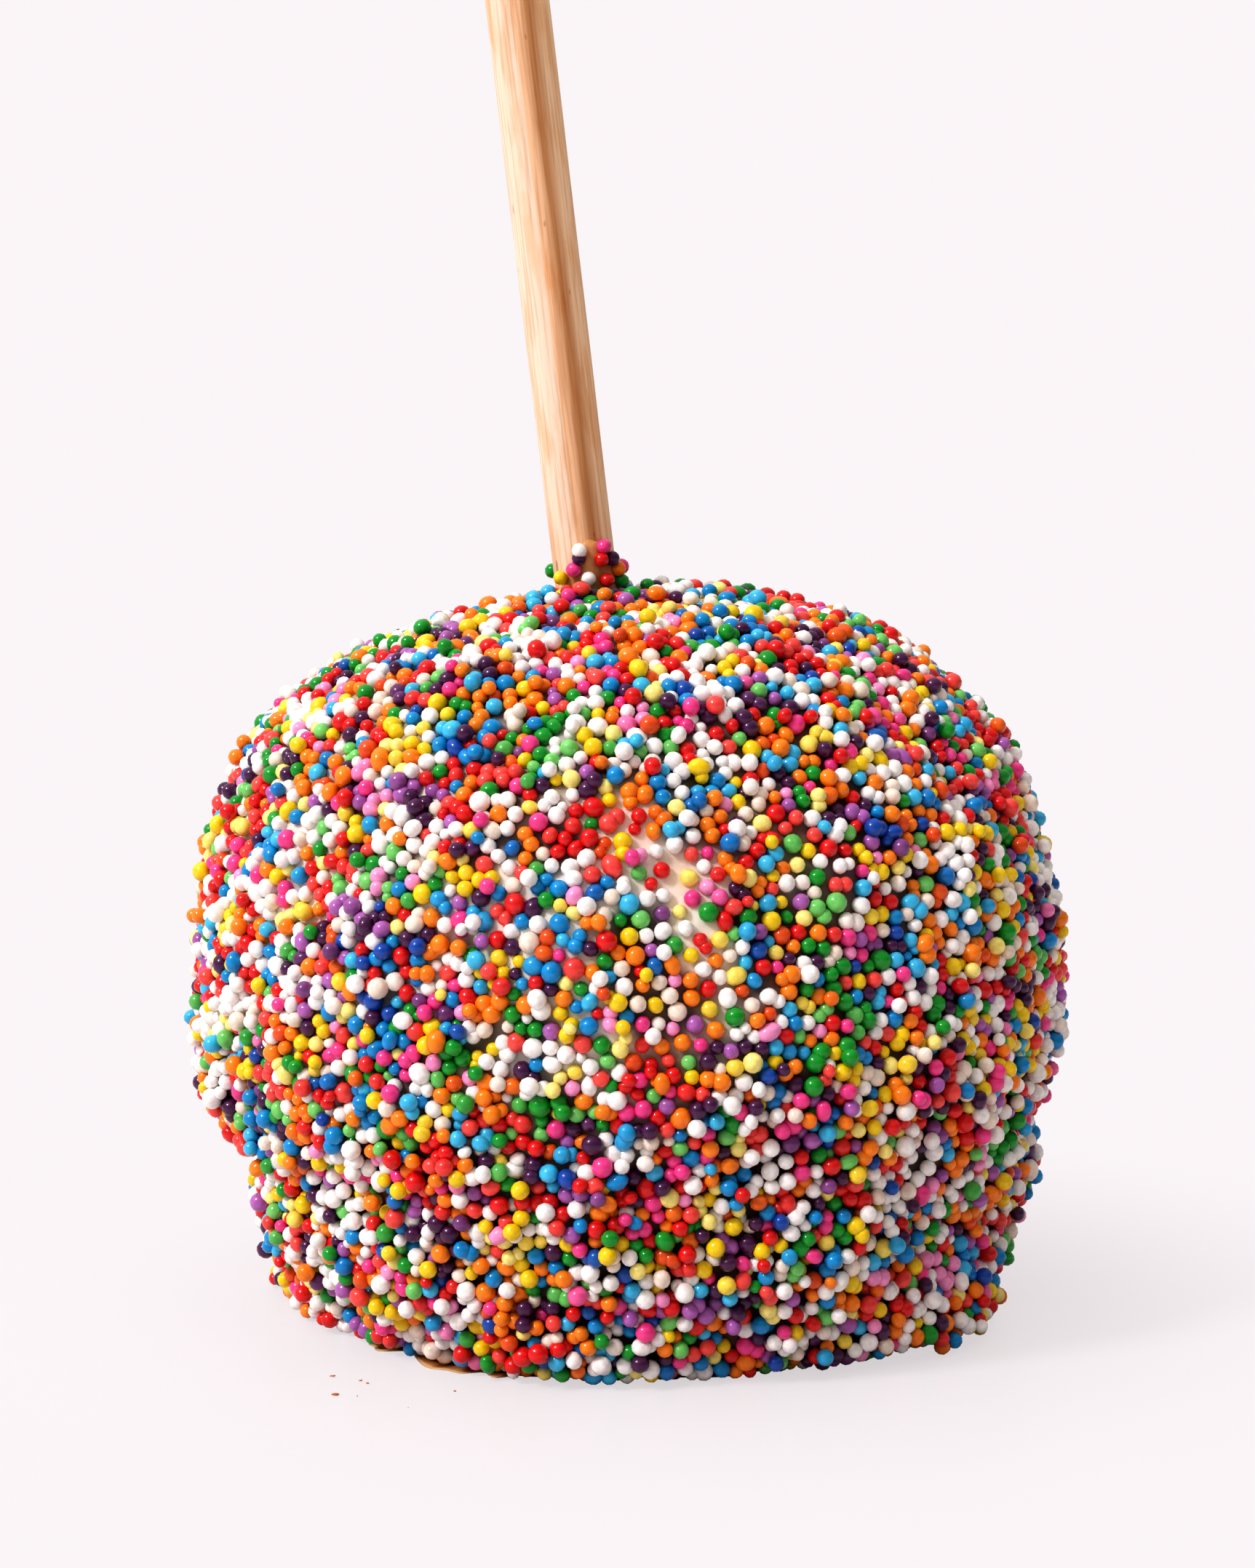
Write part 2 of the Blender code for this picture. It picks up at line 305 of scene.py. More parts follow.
def bared(ways):
    """From 0 to 1, how far the coat shows through here."""
    most = np.zeros(len(ways))
    for azimuth, elevation, reach, most_here in BARE:
        most = np.maximum(most, most_here * bump_at(ways, azimuth, elevation, reach, reach))
    patches = waves(ways * BELLY_RADIUS, BARE_PATCHES, BARE_PATCH_LENGTH, seed=5)
    return most * smooth(BARE_PATCH_LEVEL + BARE_PATCH_DEPTH * patches)


def glazed(ways):
    """From 0 to 1, how far chocolate covers the nonpareils here."""
    covers = [bump_at(ways, azimuth, elevation, reach, reach) for azimuth, elevation, reach in GLAZE]
    return np.max(covers, axis=0)


def melted(ways):
    """From 0 to 1, how warm and soft the coat was here."""
    return smooth((ways[:, 2] - MELT_FROM) / (1 - MELT_FROM))


def bed_reach(ways):
    """The chocolate's surface: the coat, deeper under the piles, higher where it shows, a little uneven."""
    reach = coat_reach(ways)
    swirl = SWIRL_HEIGHT * waves(ways * reach[:, None], SWIRLS, SWIRL_LENGTH, seed=3)
    return reach + swirl - PILE_DEPTH * piled(ways) + GLAZE_RISE * glazed(ways) + BARE_RISE * bared(ways)


def from_heart(points):
    """The directions in which the points lie from the heart."""
    offsets = points - HEART
    return offsets / np.linalg.norm(offsets, axis=1)[:, None]


def above_bed(points):
    """How high each point is over the chocolate, and the way out of it there."""
    offsets = points - HEART
    probe = 0.05 * MM

    def beyond(places):
        far = np.linalg.norm(places, axis=1)
        return far - bed_reach(places / far[:, None])

    here = beyond(offsets)
    slope = np.stack([beyond(offsets + step) - here for step in probe * np.eye(3)], axis=1) / probe
    steep = np.linalg.norm(slope, axis=1)
    return here / steep, slope / steep[:, None]


def foot_elevations(azimuths):
    """The elevations at which the chocolate meets the table, found by halving."""
    low, high = (np.full(len(azimuths), math.radians(bound)) for bound in FOOT_BETWEEN)
    for _ in range(HALVINGS):
        middle = (low + high) / 2
        ways = directions(azimuths, middle)
        over = HEART[2] + ways[:, 2] * bed_reach(ways) > 0
        high = np.where(over, middle, high)
        low = np.where(over, low, middle)
    return high


def off_stick(points):
    """Each point's offset from the stick's axis, and how far up the stick it is."""
    offsets = points - np.array(ENTRY)
    along = offsets @ np.array(STICK_UP)
    return offsets - along[:, None] * np.array(STICK_UP), along


def climb(angle):
    """How high the caramel reaches up the stick on the side that faces an azimuth."""
    share = ((1 + math.cos(angle - CLIMB_SIDE)) / 2) ** CLIMB_POWER
    return CLIMB_LOW + (CLIMB_HIGH - CLIMB_LOW) * share


def beside_stick(angle, height, off):
    """The place at this height that is so far off the stick's axis on the side that faces an azimuth."""
    aside = Vector((math.cos(angle), math.sin(angle), 0))
    out = (aside - STICK_UP * aside.dot(STICK_UP)).normalized()
    return ENTRY + STICK_UP * ((height - ENTRY.z) / STICK_UP.z) + out * off


def placed_ones(draw, radius):
    """The places and kinds of the nonpareils that stuck to the stick and of those that stand proud."""
    names = list(KINDS)
    collar = list(COLLAR)
    for number in range(COLLAR_BEHIND):
        azimuth = 180 * (number + draw.uniform(0.2, 0.8)) / COLLAR_BEHIND
        collar.append((azimuth, draw.uniform(CLIMB_LOW, COLLAR_BEHIND_TOP), draw.choice(names)))
    off = STICK_RADIUS + COLLAR_SUNK * radius
    middles = [np.array(beside_stick(math.radians(azimuth), height, off)) for azimuth, height, _ in collar]
    for azimuth, elevation, height, _ in STRAYS:
        way = directions(math.radians(azimuth), math.radians(elevation))
        middles.append(HEART + way * (bed_reach(way[None])[0] + height))
    return np.array(middles), np.array([names.index(one[-1]) for one in (*collar, *STRAYS)])


def search_tree(points):
    """The points, sorted for finding near ones."""
    tree = KDTree(len(points))
    for number, point in enumerate(points):
        tree.insert(point, number)
    tree.balance()
    return tree


def near_pairs(middles):
    """The pairs of neighbours."""
    tree = search_tree(middles)
    pairs = [
        (number, other)
        for number, middle in enumerate(middles)
        for _, other, _ in tree.find_range(middle, NEIGHBOUR_REACH)
        if other > number
    ]
    return np.array(pairs).T


def scattered_sites(draw, count, lift, heaped):
    """Scattered places over the coat, more where they pile up and fewer where it is bare."""
    ways = draw.normal(size=(count * CANDIDATES, 3))
    ways /= np.linalg.norm(ways, axis=1)[:, None]
    reach = bed_reach(ways)
    middles = HEART + ways * reach[:, None]
    _, outward = above_bed(middles)
    area = reach**2 / np.maximum((outward * ways).sum(axis=1), GRAZING)
    wanted = area * (1 + PILE_MORE * piled(ways) + MELT_MORE * melted(ways) - BARE_FEWER * bared(ways))
    heaps = waves(middles, HEAP_WAVES, HEAP_LENGTH, seed=9)
    wanted *= np.exp((heaped + HOLLOWS * piled(ways)) * heaps)
    kept = (draw.random(len(ways)) < wanted / wanted.max()) & (middles[:, 2] > LOWEST_START)
    middles = middles[kept][:count]
    lifts = lift + draw.uniform(*START_LIFT, len(middles)) * (1 + piled(ways[kept][:count]))
    return middles + outward[kept][:count] * lifts[:, None]


def settle(middles, radii, rest, held):
    """Lets them crowd each other apart while they sink to the coat, as when an apple is rolled in them."""
    free = ~held
    for number in range(ROUNDS):
        if number % NEIGHBOUR_ROUNDS == 0:
            first, second = near_pairs(middles)
        apart = middles[second] - middles[first]
        gap = np.maximum(np.linalg.norm(apart, axis=1), TINY)
        spread = LOOSE + (TIGHT - LOOSE) * min(CROWDING * number / ROUNDS, 1)
        overlap = np.maximum(spread * (radii[first] + radii[second]) - gap, 0)
        push = apart * (PUSH_SHARE * overlap / gap)[:, None]
        for axis in range(3):
            onwards = np.bincount(second, push[:, axis], len(middles))
            back = np.bincount(first, push[:, axis], len(middles))
            middles[free, axis] += (onwards - back)[free]
        height, outward = above_bed(middles)
        sink = np.minimum(height - rest, PULL)
        middles[free] -= (outward * sink[:, None])[free]
        aside, along = off_stick(middles)
        near = np.maximum(np.linalg.norm(aside, axis=1), TINY)
        short = np.where(along > -STICK_SUNK, STICK_RADIUS + STICK_TOUCH * radii - near, 0)
        middles[free] += (aside * (np.maximum(short, 0) / near)[:, None])[free]
        middles[:, 2] = np.maximum(middles[:, 2], radii + FLOOR_CLEARANCE)


def unmerged(middles, radii):
    """Which to keep, so that no two stand in one place."""
    first, second = near_pairs(middles)
    gap = np.linalg.norm(middles[second] - middles[first], axis=1)
    kept = np.ones(len(middles), bool)
    kept[second[gap < MERGED * (radii[first] + radii[second])]] = False
    return kept


def perched(middles):
    """Which stand on top of others where only one layer holds, and so fall off."""
    return above_bed(middles)[0] > PERCH * (1 + PERCH_PILED * piled(from_heart(middles)))


def buried(middles, radii):
    """Which are hidden under others: seen from outside, nearly all of their disc is covered."""
    first, second = near_pairs(middles)
    one, other = np.concatenate([first, second]), np.concatenate([second, first])
    outward = above_bed(middles)[1]
    side = np.cross(outward, ASKEW)
    side /= np.linalg.norm(side, axis=1)[:, None]
    forward = np.cross(outward, side)
    apart = middles[other] - middles[one]
    over = (apart * outward[one]).sum(axis=1)
    level = apart - over[:, None] * outward[one]
    above = over > BURIED_UNDER * radii[one]
    hidden = np.zeros(len(middles))
    for angle in np.linspace(0, 2 * math.pi, BURIED_SAMPLES, endpoint=False):
        spot = BURIED_RING * radii[:, None] * (math.cos(angle) * side + math.sin(angle) * forward)
        covered = above & (np.linalg.norm(level - spot[one], axis=1) < radii[other])
        hidden += np.bincount(one[covered], minlength=len(middles)) > 0
    return hidden >= BURIED_SAMPLES - 1


def stuck_pairs(draw, middles, radii, placed):
    """Pairs of neighbours that dried as one while wet, no nonpareil in two pairs and none that is placed."""
    first, second = near_pairs(middles)
    gap = np.linalg.norm(middles[second] - middles[first], axis=1)
    touching = (gap < TOUCHING * (radii[first] + radii[second])) & (draw.random(len(gap)) < STUCK_SHARE)
    taken = set(range(placed))
    pairs = []
    for one, other in zip(first[touching], second[touching]):
        if one not in taken and other not in taken:
            taken.update((one, other))
            pairs.append((one, other))
    return np.array(pairs).T


def pick_kinds(draw, middles):
    """A kind for each nonpareil, with like ones often side by side, and more white ones to the left as
    painted light.
    """
    weights = []
    for number, (kind, (share, _)) in enumerate(KINDS.items()):
        clumps = CLUMPING * waves(middles, CLUMP_WAVES, CLUMP_LENGTH, seed=20 + number)
        # Painted light: more white ones on the brightly lit left
        if kind == "white":
            clumps += PAINTED_LIGHT_WHITES_LEFT * np.maximum(-middles[:, 0], 0)
        weights.append(share * np.exp(clumps))
    shares = np.cumsum(weights, axis=0) / np.sum(weights, axis=0)
    return (draw.random(len(middles)) > shares).sum(axis=0)


def turns(draw, outward):
    """Eulers that stand each one on its place, spun at random about the way out."""
    eulers = []
    for way in outward:
        spin = Matrix.Rotation(draw.uniform(0, 2 * math.pi), 3, "Z")
        eulers.append((Vector(way).to_track_quat("Z", "Y").to_matrix() @ spin).to_euler())
    return np.array(eulers)


@lru_cache(maxsize=1)
def nonpareils(count, upper, smallest, largest, seed):
    """Every nonpareil's middle, radius, scales, turn, kind and shade. The placed ones come first."""
    draw = np.random.default_rng(seed)
    mean = (smallest + largest) / 2
    middles, placed_kinds = placed_ones(draw, mean)
    placed = len(middles)
    radii = np.full(placed, mean)
    for number, (lift, heaped) in zip((count, upper), LAYERS):
        before = len(middles)
        middles = np.concatenate([middles, scattered_sites(draw, number, lift, heaped)])
        fresh = draw.normal(mean, (largest - smallest) / SIZE_SPAN, len(middles) - before)
        radii = np.concatenate([radii, np.clip(fresh, smallest, largest)])
        ways = from_heart(middles)
        sunk = MELT_SUNK * melted(ways) + BARE_SUNK * bared(ways) + GLAZE_SUNK * glazed(ways)
        rest = draw.uniform(*BEDDING, len(middles)) - sunk
        settle(middles, radii, radii * rest, np.arange(len(middles)) < before)
        kept = unmerged(middles, radii) & ~perched(middles)
        kept[:placed] = True
        middles, radii = middles[kept], radii[kept]

    kept = ~buried(middles, radii)
    kept[:placed] = True
    middles, radii = middles[kept], radii[kept]
    kinds = pick_kinds(draw, middles)
    kinds[:placed] = placed_kinds
    shades = draw.random(len(middles))
    one, other = stuck_pairs(draw, middles, radii, placed)
    middles[other] += STUCK_LEAN * (middles[one] - middles[other])
    kinds[other] = kinds[one]
    shades[other] = shades[one]
    shades[:placed] = PLACED_SHADE

    soft = melted(from_heart(middles)) * (np.arange(len(middles)) >= placed)
    scales = radii[:, None] * draw.normal(1, SCALE_SPREAD, (len(middles), 3))
    long_ones = draw.random(len(middles)) < LONG_SHARE
    scales[long_ones, 0] *= draw.uniform(*LONG_STRETCH, long_ones.sum())
    scales[:, 2] *= 1 - SOFT_FLATTER * soft
    scales[:, :2] *= 1 + SOFT_WIDER * soft[:, None]
    middles[:, 2] = np.maximum(middles[:, 2], scales.max(axis=1) + FLOOR_CLEARANCE)
    spins = turns(draw, above_bed(middles)[1])
    return SimpleNamespace(
        middles=middles, radii=radii, scales=scales, turns=spins, kinds=kinds, shades=shades
    )


def settled():
    """The nonpareils with the sidebar's settings."""
    sizes = bpy.context.scene.nonpareil_sizes
    return nonpareils(sizes.count, sizes.upper, sizes.smallest, sizes.largest, sizes.seed)


# ---------------------------------------------------------------- nodes and meshes

# A mix node has several sockets of each name, so its sockets for colours go by number.
SHARE, BELOW, ABOVE, MIXED = 0, 6, 7, 2
UNCHANGED = (1.0, 1.0, 1.0)  # leaves what it multiplies as it is

# How an attribute of each shape is kept: its type, and the field that holds it.
ATTRIBUTE_FORMS = {
    (): ("FLOAT", "value"),
    (3,): ("FLOAT_VECTOR", "vector"),
    (4,): ("FLOAT_COLOR", "color"),
}


def add(tree, kind, inputs=None, **settings):
    """Adds a node with its settings. Inputs go by socket name or number, as values or as outputs to link."""
    node = tree.nodes.new(kind)
    for name, value in settings.items():
        setattr(node, name, value)
    for name, value in (inputs or {}).items():
        if isinstance(value, bpy.types.NodeSocket):
            tree.links.new(value, node.inputs[name])
        else:
            node.inputs[name].default_value = value
    return node


def shade_ramp(tree, share, stops):
    """A colour ramp through stops, each a place and a linear colour."""
    node = add(tree, "ShaderNodeValToRGB", {"Fac": share})
    elements = node.color_ramp.elements
    while len(elements) < len(stops):
        elements.new(1.0)
    for element, (place, shade) in zip(elements, stops):
        element.position = place
        element.color = (*shade, 1)
    return node.outputs["Color"]


def new_material(name, **constants):
    """A material whose shader has these constant inputs, its node tree and its shader."""
    made = bpy.data.materials.new(name)
    made.use_nodes = True
    shader = made.node_tree.nodes["Principled BSDF"]
    for socket, value in constants.items():
        shader.inputs[socket.replace("_", " ")].default_value = value
    return made, made.node_tree, shader


def new_tree(name, sockets):
    """A geometry tree with these named inputs, and its group input and output nodes."""
    tree = bpy.data.node_groups.new(name, "GeometryNodeTree")
    for label, kind in {"Geometry": "Geometry", **sockets}.items():
        tree.interface.new_socket(label, in_out="INPUT", socket_type=f"NodeSocket{kind}")
    tree.interface.new_socket("Geometry", in_out="OUTPUT", socket_type="NodeSocketGeometry")
    return tree, add(tree, "NodeGroupInput").outputs, add(tree, "NodeGroupOutput")


def roughened(tree, geometry, noise, height):
    """The geometry, with each point moved along its normal by a noise, up to half the height either way."""
    centred = add(tree, "ShaderNodeMath", {0: noise, 1: 0.5}, operation="SUBTRACT").outputs["Value"]
    moved = add(tree, "ShaderNodeMath", {0: centred, 1: height}, operation="MULTIPLY").outputs["Value"]
    along = {0: add(tree, "GeometryNodeInputNormal").outputs["Normal"], "Scale": moved}
    offset = add(tree, "ShaderNodeVectorMath", along, operation="SCALE").outputs["Vector"]
    return add(tree, "GeometryNodeSetPosition", {"Geometry": geometry, "Offset": offset}).outputs["Geometry"]


def placed_in_scene(name, data):
    """A new object of the scene, with this mesh, light or camera."""
    made = bpy.data.objects.new(name, data)
    bpy.context.scene.collection.objects.link(made)
    return made


def grown(name, start, tree, values):
    """A piece with the plain mesh that a geometry tree makes of a starting mesh."""
    piece = placed_in_scene(name, start)
    modifier = piece.modifiers.new(tree.name, "NODES")
    modifier.node_group = tree
    for item in tree.interface.items_tree:
        if item.in_out == "INPUT" and item.name in values:
            modifier[item.identifier] = values[item.name]
    shown = piece.evaluated_get(bpy.context.evaluated_depsgraph_get())
    mesh = bpy.data.meshes.new_from_object(shown)
    piece.modifiers.clear()
    piece.data = mesh
    mesh.name = name
    return piece


def store(mesh, **attributes):
    """Gives the mesh's corners these attributes: arrays of numbers, vectors or colours."""
    for name, values in attributes.items():
        kind, field = ATTRIBUTE_FORMS[values.shape[1:]]
        mesh.attributes.new(name, kind, "POINT").data.foreach_set(field, values.ravel())


def finish_piece(piece, slot, *replaced):
    """Rides a piece on the one body, and hides the solids that it stands in for. The slot is not used."""
    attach(piece, "root")
    if replaced:
        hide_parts(*replaced)


# ---------------------------------------------------------------- materials


def sugar_material(kind, colours):
    """Pan-coated sugar: beads tumbled in dyed syrup. It gives a satin body colour that differs from bead to
    bead, faint mottling where the dye dried unevenly, and a small sharp highlight from the glaze."""
    made, tree, shader = new_material(
        f"pan_coated_sugar_{kind}",
        Roughness=0.34,
        IOR=1.5,
        Specular_IOR_Level=0.4,
        Coat_Weight=0.5,
        Coat_Roughness=0.08,
        Subsurface_Weight=0.04,
        Subsurface_Radius=(1.0, 0.7, 0.6),
        Subsurface_Scale=0.4 * MM,
    )
    deep, middle, pale = [getattr(colours, name) for name in KINDS[kind][1]]
    shade = add(tree, "ShaderNodeAttribute", attribute_name="shade").outputs["Fac"]
    body = shade_ramp(tree, shade, ((0.06, deep), (0.20, middle), (0.58, middle), (0.78, pale)))
    place = add(tree, "ShaderNodeTexCoord").outputs["Object"]
    grain = 1 / (0.7 * MM)
    mottle = add(tree, "ShaderNodeTexNoise", {"Vector": place, "Scale": grain, "Detail": 3.0}).outputs["Fac"]
    depth = shade_ramp(tree, mottle, ((0.35, (0.80, 0.80, 0.80)), (0.62, UNCHANGED)))
    dyed = {SHARE: 1.0, BELOW: body, ABOVE: depth}
    shown = add(tree, "ShaderNodeMix", dyed, data_type="RGBA", blend_type="MULTIPLY").outputs[MIXED]
    tree.links.new(shown, shader.inputs["Base Color"])
    pits = add(tree, "ShaderNodeBump", {"Height": mottle, "Distance": 0.03 * MM, "Strength": 0.6})
    tree.links.new(pits.outputs["Normal"], shader.inputs["Normal"])
    return made


def chocolate_material(colours):
    """Tempered white chocolate, set: ivory, satin and a little see-through, so that light spreads in it. The
    nonpareils' dye bleeds into it round each one, stronger off the bare places as painted shade, and a dark
    brown painted in as shade between the nonpareils stands partly for caramel where the coat is thin."""
    made, tree, shader = new_material(
        "tempered_white_chocolate",
        Roughness=0.45,
        IOR=1.46,
        Specular_IOR_Level=0.3,
        Subsurface_Weight=0.35,
        Subsurface_Radius=(1.0, 0.75, 0.55),
        Subsurface_Scale=0.8 * MM,
    )
    place = add(tree, "ShaderNodeTexCoord").outputs["Object"]
    bloom = 1 / (3.0 * MM)
    cloud = add(tree, "ShaderNodeTexNoise", {"Vector": place, "Scale": bloom, "Detail": 4.0}).outputs["Fac"]
    plain = shade_ramp(tree, cloud, ((0.3, colours.ivory), (0.7, colours.chocolate)))
    dye = add(tree, "ShaderNodeAttribute", attribute_name="dye").outputs
    bled = {SHARE: dye["Alpha"], BELOW: plain, ABOVE: dye["Color"]}
    stained = add(tree, "ShaderNodeMix", bled, data_type="RGBA").outputs[MIXED]
    # thin: painted shade between the nonpareils, partly caramel where the coat is thin; it mixes in the dark
    # under colour
    thin = add(tree, "ShaderNodeAttribute", attribute_name="thin").outputs["Fac"]
    browned = {SHARE: thin, BELOW: stained, ABOVE: (*colours.under, 1)}
    shown = add(tree, "ShaderNodeMix", browned, data_type="RGBA").outputs[MIXED]
    tree.links.new(shown, shader.inputs["Base Color"])
    return made


def caramel_material(colours):
    """Boiled sugar caramel run out thin: pale amber at its rims, browner where it is thick, softly shiny."""
    made, tree, shader = new_material(
        "boiled_sugar_caramel",
        Roughness=0.35,
        IOR=1.49,
        Specular_IOR_Level=0.25,
        Subsurface_Weight=0.2,
        Subsurface_Radius=(1.0, 0.4, 0.15),
        Subsurface_Scale=0.6 * MM,
    )
    place = add(tree, "ShaderNodeTexCoord").outputs["Object"]
    streak = 1 / (2.0 * MM)
    cloud = add(tree, "ShaderNodeTexNoise", {"Vector": place, "Scale": streak, "Detail": 3.0}).outputs["Fac"]
    thin = add(tree, "ShaderNodeAttribute", attribute_name="thin").outputs["Fac"]
    cloudiness = 0.6
    paled = {0: cloud, 1: cloudiness, 2: thin}
    drift = add(tree, "ShaderNodeMath", paled, operation="MULTIPLY_ADD").outputs["Value"]
    stops = ((0.40, colours.deep_caramel), (0.81, colours.dark_caramel), (0.99, colours.caramel))
    tree.links.new(shade_ramp(tree, drift, stops), shader.inputs["Base Color"])
    return made


def birch_material(colours):
    """Turned and sanded birch, unvarnished: matt, pale, with long straight streaks of warmer grain, a darker
    side where the rod was cut near the heartwood, a paler edge past it that is painted rim light, and small
    flecks."""
    made, tree, shader = new_material("turned_birch", Roughness=0.55, IOR=1.45)
    place = add(tree, "ShaderNodeTexCoord").outputs["Object"]
    lean = Vector((0, 0, 1)).rotation_difference(STICK_UP).to_euler()
    upright = {"Vector": place, "Location": ENTRY, "Rotation": lean}
    rod = add(tree, "ShaderNodeMapping", upright, vector_type="TEXTURE").outputs["Vector"]

    def streaks(width, stretch, detail):
        drawn = add(tree, "ShaderNodeMapping", {"Vector": rod, "Scale": (1, 1, 1 / stretch)}).outputs
        noise = {"Vector": drawn["Vector"], "Scale": 1 / width, "Detail": detail, "Roughness": 0.55}
        return add(tree, "ShaderNodeTexNoise", noise).outputs["Fac"]

    # The grain bands run along the rod and drift sideways: sapwood at the left, then warm, then darker wood,
    # then a pale edge at the right that is painted rim light.
    broad = streaks(width=2.6 * MM, stretch=45, detail=2.0)
    across = add(tree, "ShaderNodeSeparateXYZ", {"Vector": rod}).outputs["X"]
    sides = {"Value": across, "From Min": -STICK_RADIUS, "From Max": STICK_RADIUS}
    band = add(tree, "ShaderNodeMapRange", {**sides, "To Min": -0.20, "To Max": 0.80}).outputs["Result"]
    wander = 0.40
    wandering = {0: broad, 1: wander, 2: band}
    drift = add(tree, "ShaderNodeMath", wandering, operation="MULTIPLY_ADD").outputs["Value"]
    stops = (
        (0.36, colours.pale_birch),
        (0.42, colours.warm_birch),
        (0.56, colours.warm_birch),
        (0.68, colours.dark_birch),
        (0.74, colours.dark_birch),
        # Painted rim light: the pale edge past the darker band
        (0.86, colours.rim_light_birch),
    )
    shown = shade_ramp(tree, drift, stops)
    for share, width, stretch, detail, low, dark, high in (
        (0.75, 0.28 * MM, 40, 3.0, 0.38, (0.80, 0.70, 0.60), 0.52),  # fine streaks
        (0.65, 2.2 * MM, 5, 6.0, 0.40, (0.90, 0.74, 0.56), 0.50),  # tan mottling
        (0.60, 0.9 * MM, 3.5, 1.0, 0.23, (0.45, 0.30, 0.18), 0.27),  # flecks
    ):
        marks = shade_ramp(tree, streaks(width, stretch, detail), ((low, dark), (high, UNCHANGED)))
        marked = {SHARE: share, BELOW: shown, ABOVE: marks}
        shown = add(tree, "ShaderNodeMix", marked, data_type="RGBA", blend_type="MULTIPLY").outputs[MIXED]
    tree.links.new(shown, shader.inputs["Base Color"])
    ridged = streaks(width=0.3 * MM, stretch=50, detail=2.0)
    ridges = add(tree, "ShaderNodeBump", {"Height": ridged, "Distance": 0.04 * MM, "Strength": 0.7})
    tree.links.new(ridges.outputs["Normal"], shader.inputs["Normal"])
    return made


def paper_material(looks):
    """Coated white paper on a sweep: nearly matt, with a blurred reflection of what stands on it. To the
    camera it is lit from below, as on a product table, and fades into the backdrop with no horizon."""
    base = (*looks.paper, 1)
    made, tree, shader = new_material("coated_paper", Base_Color=base, Roughness=0.38, IOR=1.45)
    place = add(tree, "ShaderNodeTexCoord").outputs["Object"]
    far = add(tree, "ShaderNodeVectorMath", {0: place}, operation="LENGTH").outputs["Value"]
    sweep = {"Value": far, "From Min": SWEEP_FROM, "From Max": SWEEP_TO, "To Min": looks.table_glow}
    glow = add(tree, "ShaderNodeMapRange", sweep, interpolation_type="SMOOTHERSTEP").outputs["Result"]
    seen = add(tree, "ShaderNodeLightPath").outputs["Is Camera Ray"]
    share = add(tree, "ShaderNodeMath", {0: glow, 1: seen}, operation="MULTIPLY").outputs["Value"]
    lit = add(tree, "ShaderNodeEmission", {"Color": (*looks.backdrop, 1), "Strength": 1.0}).outputs
    mixed = add(tree, "ShaderNodeMixShader", {0: share, 1: shader.outputs["BSDF"], 2: lit["Emission"]})
    tree.links.new(mixed.outputs["Shader"], tree.nodes["Material Output"].inputs["Surface"])
    return made


# ---------------------------------------------------------------- settings


def colour(name, description, hex_colour):
    """A colour setting with its default."""
    return bpy.props.FloatVectorProperty(
        name=name, description=description, subtype="COLOR", size=3, min=0, max=1, default=linear(hex_colour)
    )


def size(name, description, metres):
    """A length setting with its default."""
    return bpy.props.FloatProperty(
        name=name, description=description, subtype="DISTANCE", unit="LENGTH", min=0, default=metres
    )


def strength(name, description, share):
    """A setting for how strong a light is, with its default."""
    return bpy.props.FloatProperty(name=name, description=description, min=0, default=share)


class NonpareilSizes(bpy.types.PropertyGroup):
    """How many nonpareils there are, and how large."""

    count: bpy.props.IntProperty(
        name="Count", description="Nonpareils thrown on the coat", min=100, default=12300
    )
    upper: bpy.props.IntProperty(name="Upper", description="More thrown over them", min=100, default=2400)
    smallest: size("Smallest radius", "Radius of the smallest nonpareil", 0.54 * MM)
    largest: size("Largest radius", "Radius of the largest nonpareil", 0.96 * MM)
    unevenness: size("Unevenness", "How far a nonpareil's surface strays from round", 0.02 * MM)
    roundness: bpy.props.IntProperty(
        name="Roundness", description="Subdivisions of one", min=1, max=3, default=2
    )
    seed: bpy.props.IntProperty(name="Seed", description="Start of every random draw", default=7)


class SugarColours(bpy.types.PropertyGroup):
    """The dyes of the nonpareils."""

    white: colour("White", "Undyed sugar", "F6F0EC")
    cream: colour("Cream", "White that took up some chocolate", "F0DECE")
    orange: colour("Orange", "Main orange", "FA8A10")
    tangerine: colour("Tangerine", "Deep orange", "E2560F")
    yellow: colour("Yellow", "Main yellow", "F4CF0C")
    lemon: colour("Lemon", "Pale yellow", "FAE88A")
    red: colour("Red", "Main red", "DE1414")
    coral: colour("Coral", "Pale red", "F2524A")
    pink: colour("Pink", "Main pink", "EF4690")
    blush: colour("Blush", "Pale pink", "F59CC8")
    plum: colour("Plum", "Main purple", "501C4C")
    lilac: colour("Lilac", "Pale purple", "B068B0")
    green: colour("Green", "Main green", "129A30")
    mint: colour("Mint", "Pale green", "7CCB6E")
    blue: colour("Blue", "Main blue", "0090CC")
    sky: colour("Sky", "Pale blue", "46BCE4")
    navy: colour("Navy", "Deep blue", "1650A8")


class CoatColours(bpy.types.PropertyGroup):
    """Chocolate and caramel."""

    chocolate: colour("White chocolate", "The coat", "FBF4EA")
    ivory: colour("Ivory", "The coat's darker clouds", "EADCCB")
    # Painted shade: the dark brown that stands for shade in the gaps between the nonpareils, partly caramel
    # through a thin coat
    under: colour("Under the nonpareils", "Where the coat is thin over the caramel", "3C1A0C")
    caramel: colour("Caramel", "Where it is thin", "E2AE7A")
    dark_caramel: colour("Dark caramel", "Where it is thick", "B97A48")
    deep_caramel: colour("Deep caramel", "Where it leaves the coat, and in the crumbs", "B8682A")


class StickLooks(bpy.types.PropertyGroup):
    """The wood and the evenness of the dowel."""

    pale_birch: colour("Pale birch", "Sapwood", "EBD0BA")
    warm_birch: colour("Warm birch", "Streaks", "EABE98")
    dark_birch: colour("Dark birch", "Band near the heartwood", "C48E5E")
    # Painted rim light: the right edge of the rod made pale, as if lit from behind
    rim_light_birch: colour("Rim light birch", "Beyond that band", "F8D4B0")
    unevenness: size("Unevenness", "How far the turned surface strays from round", 0.06 * MM)


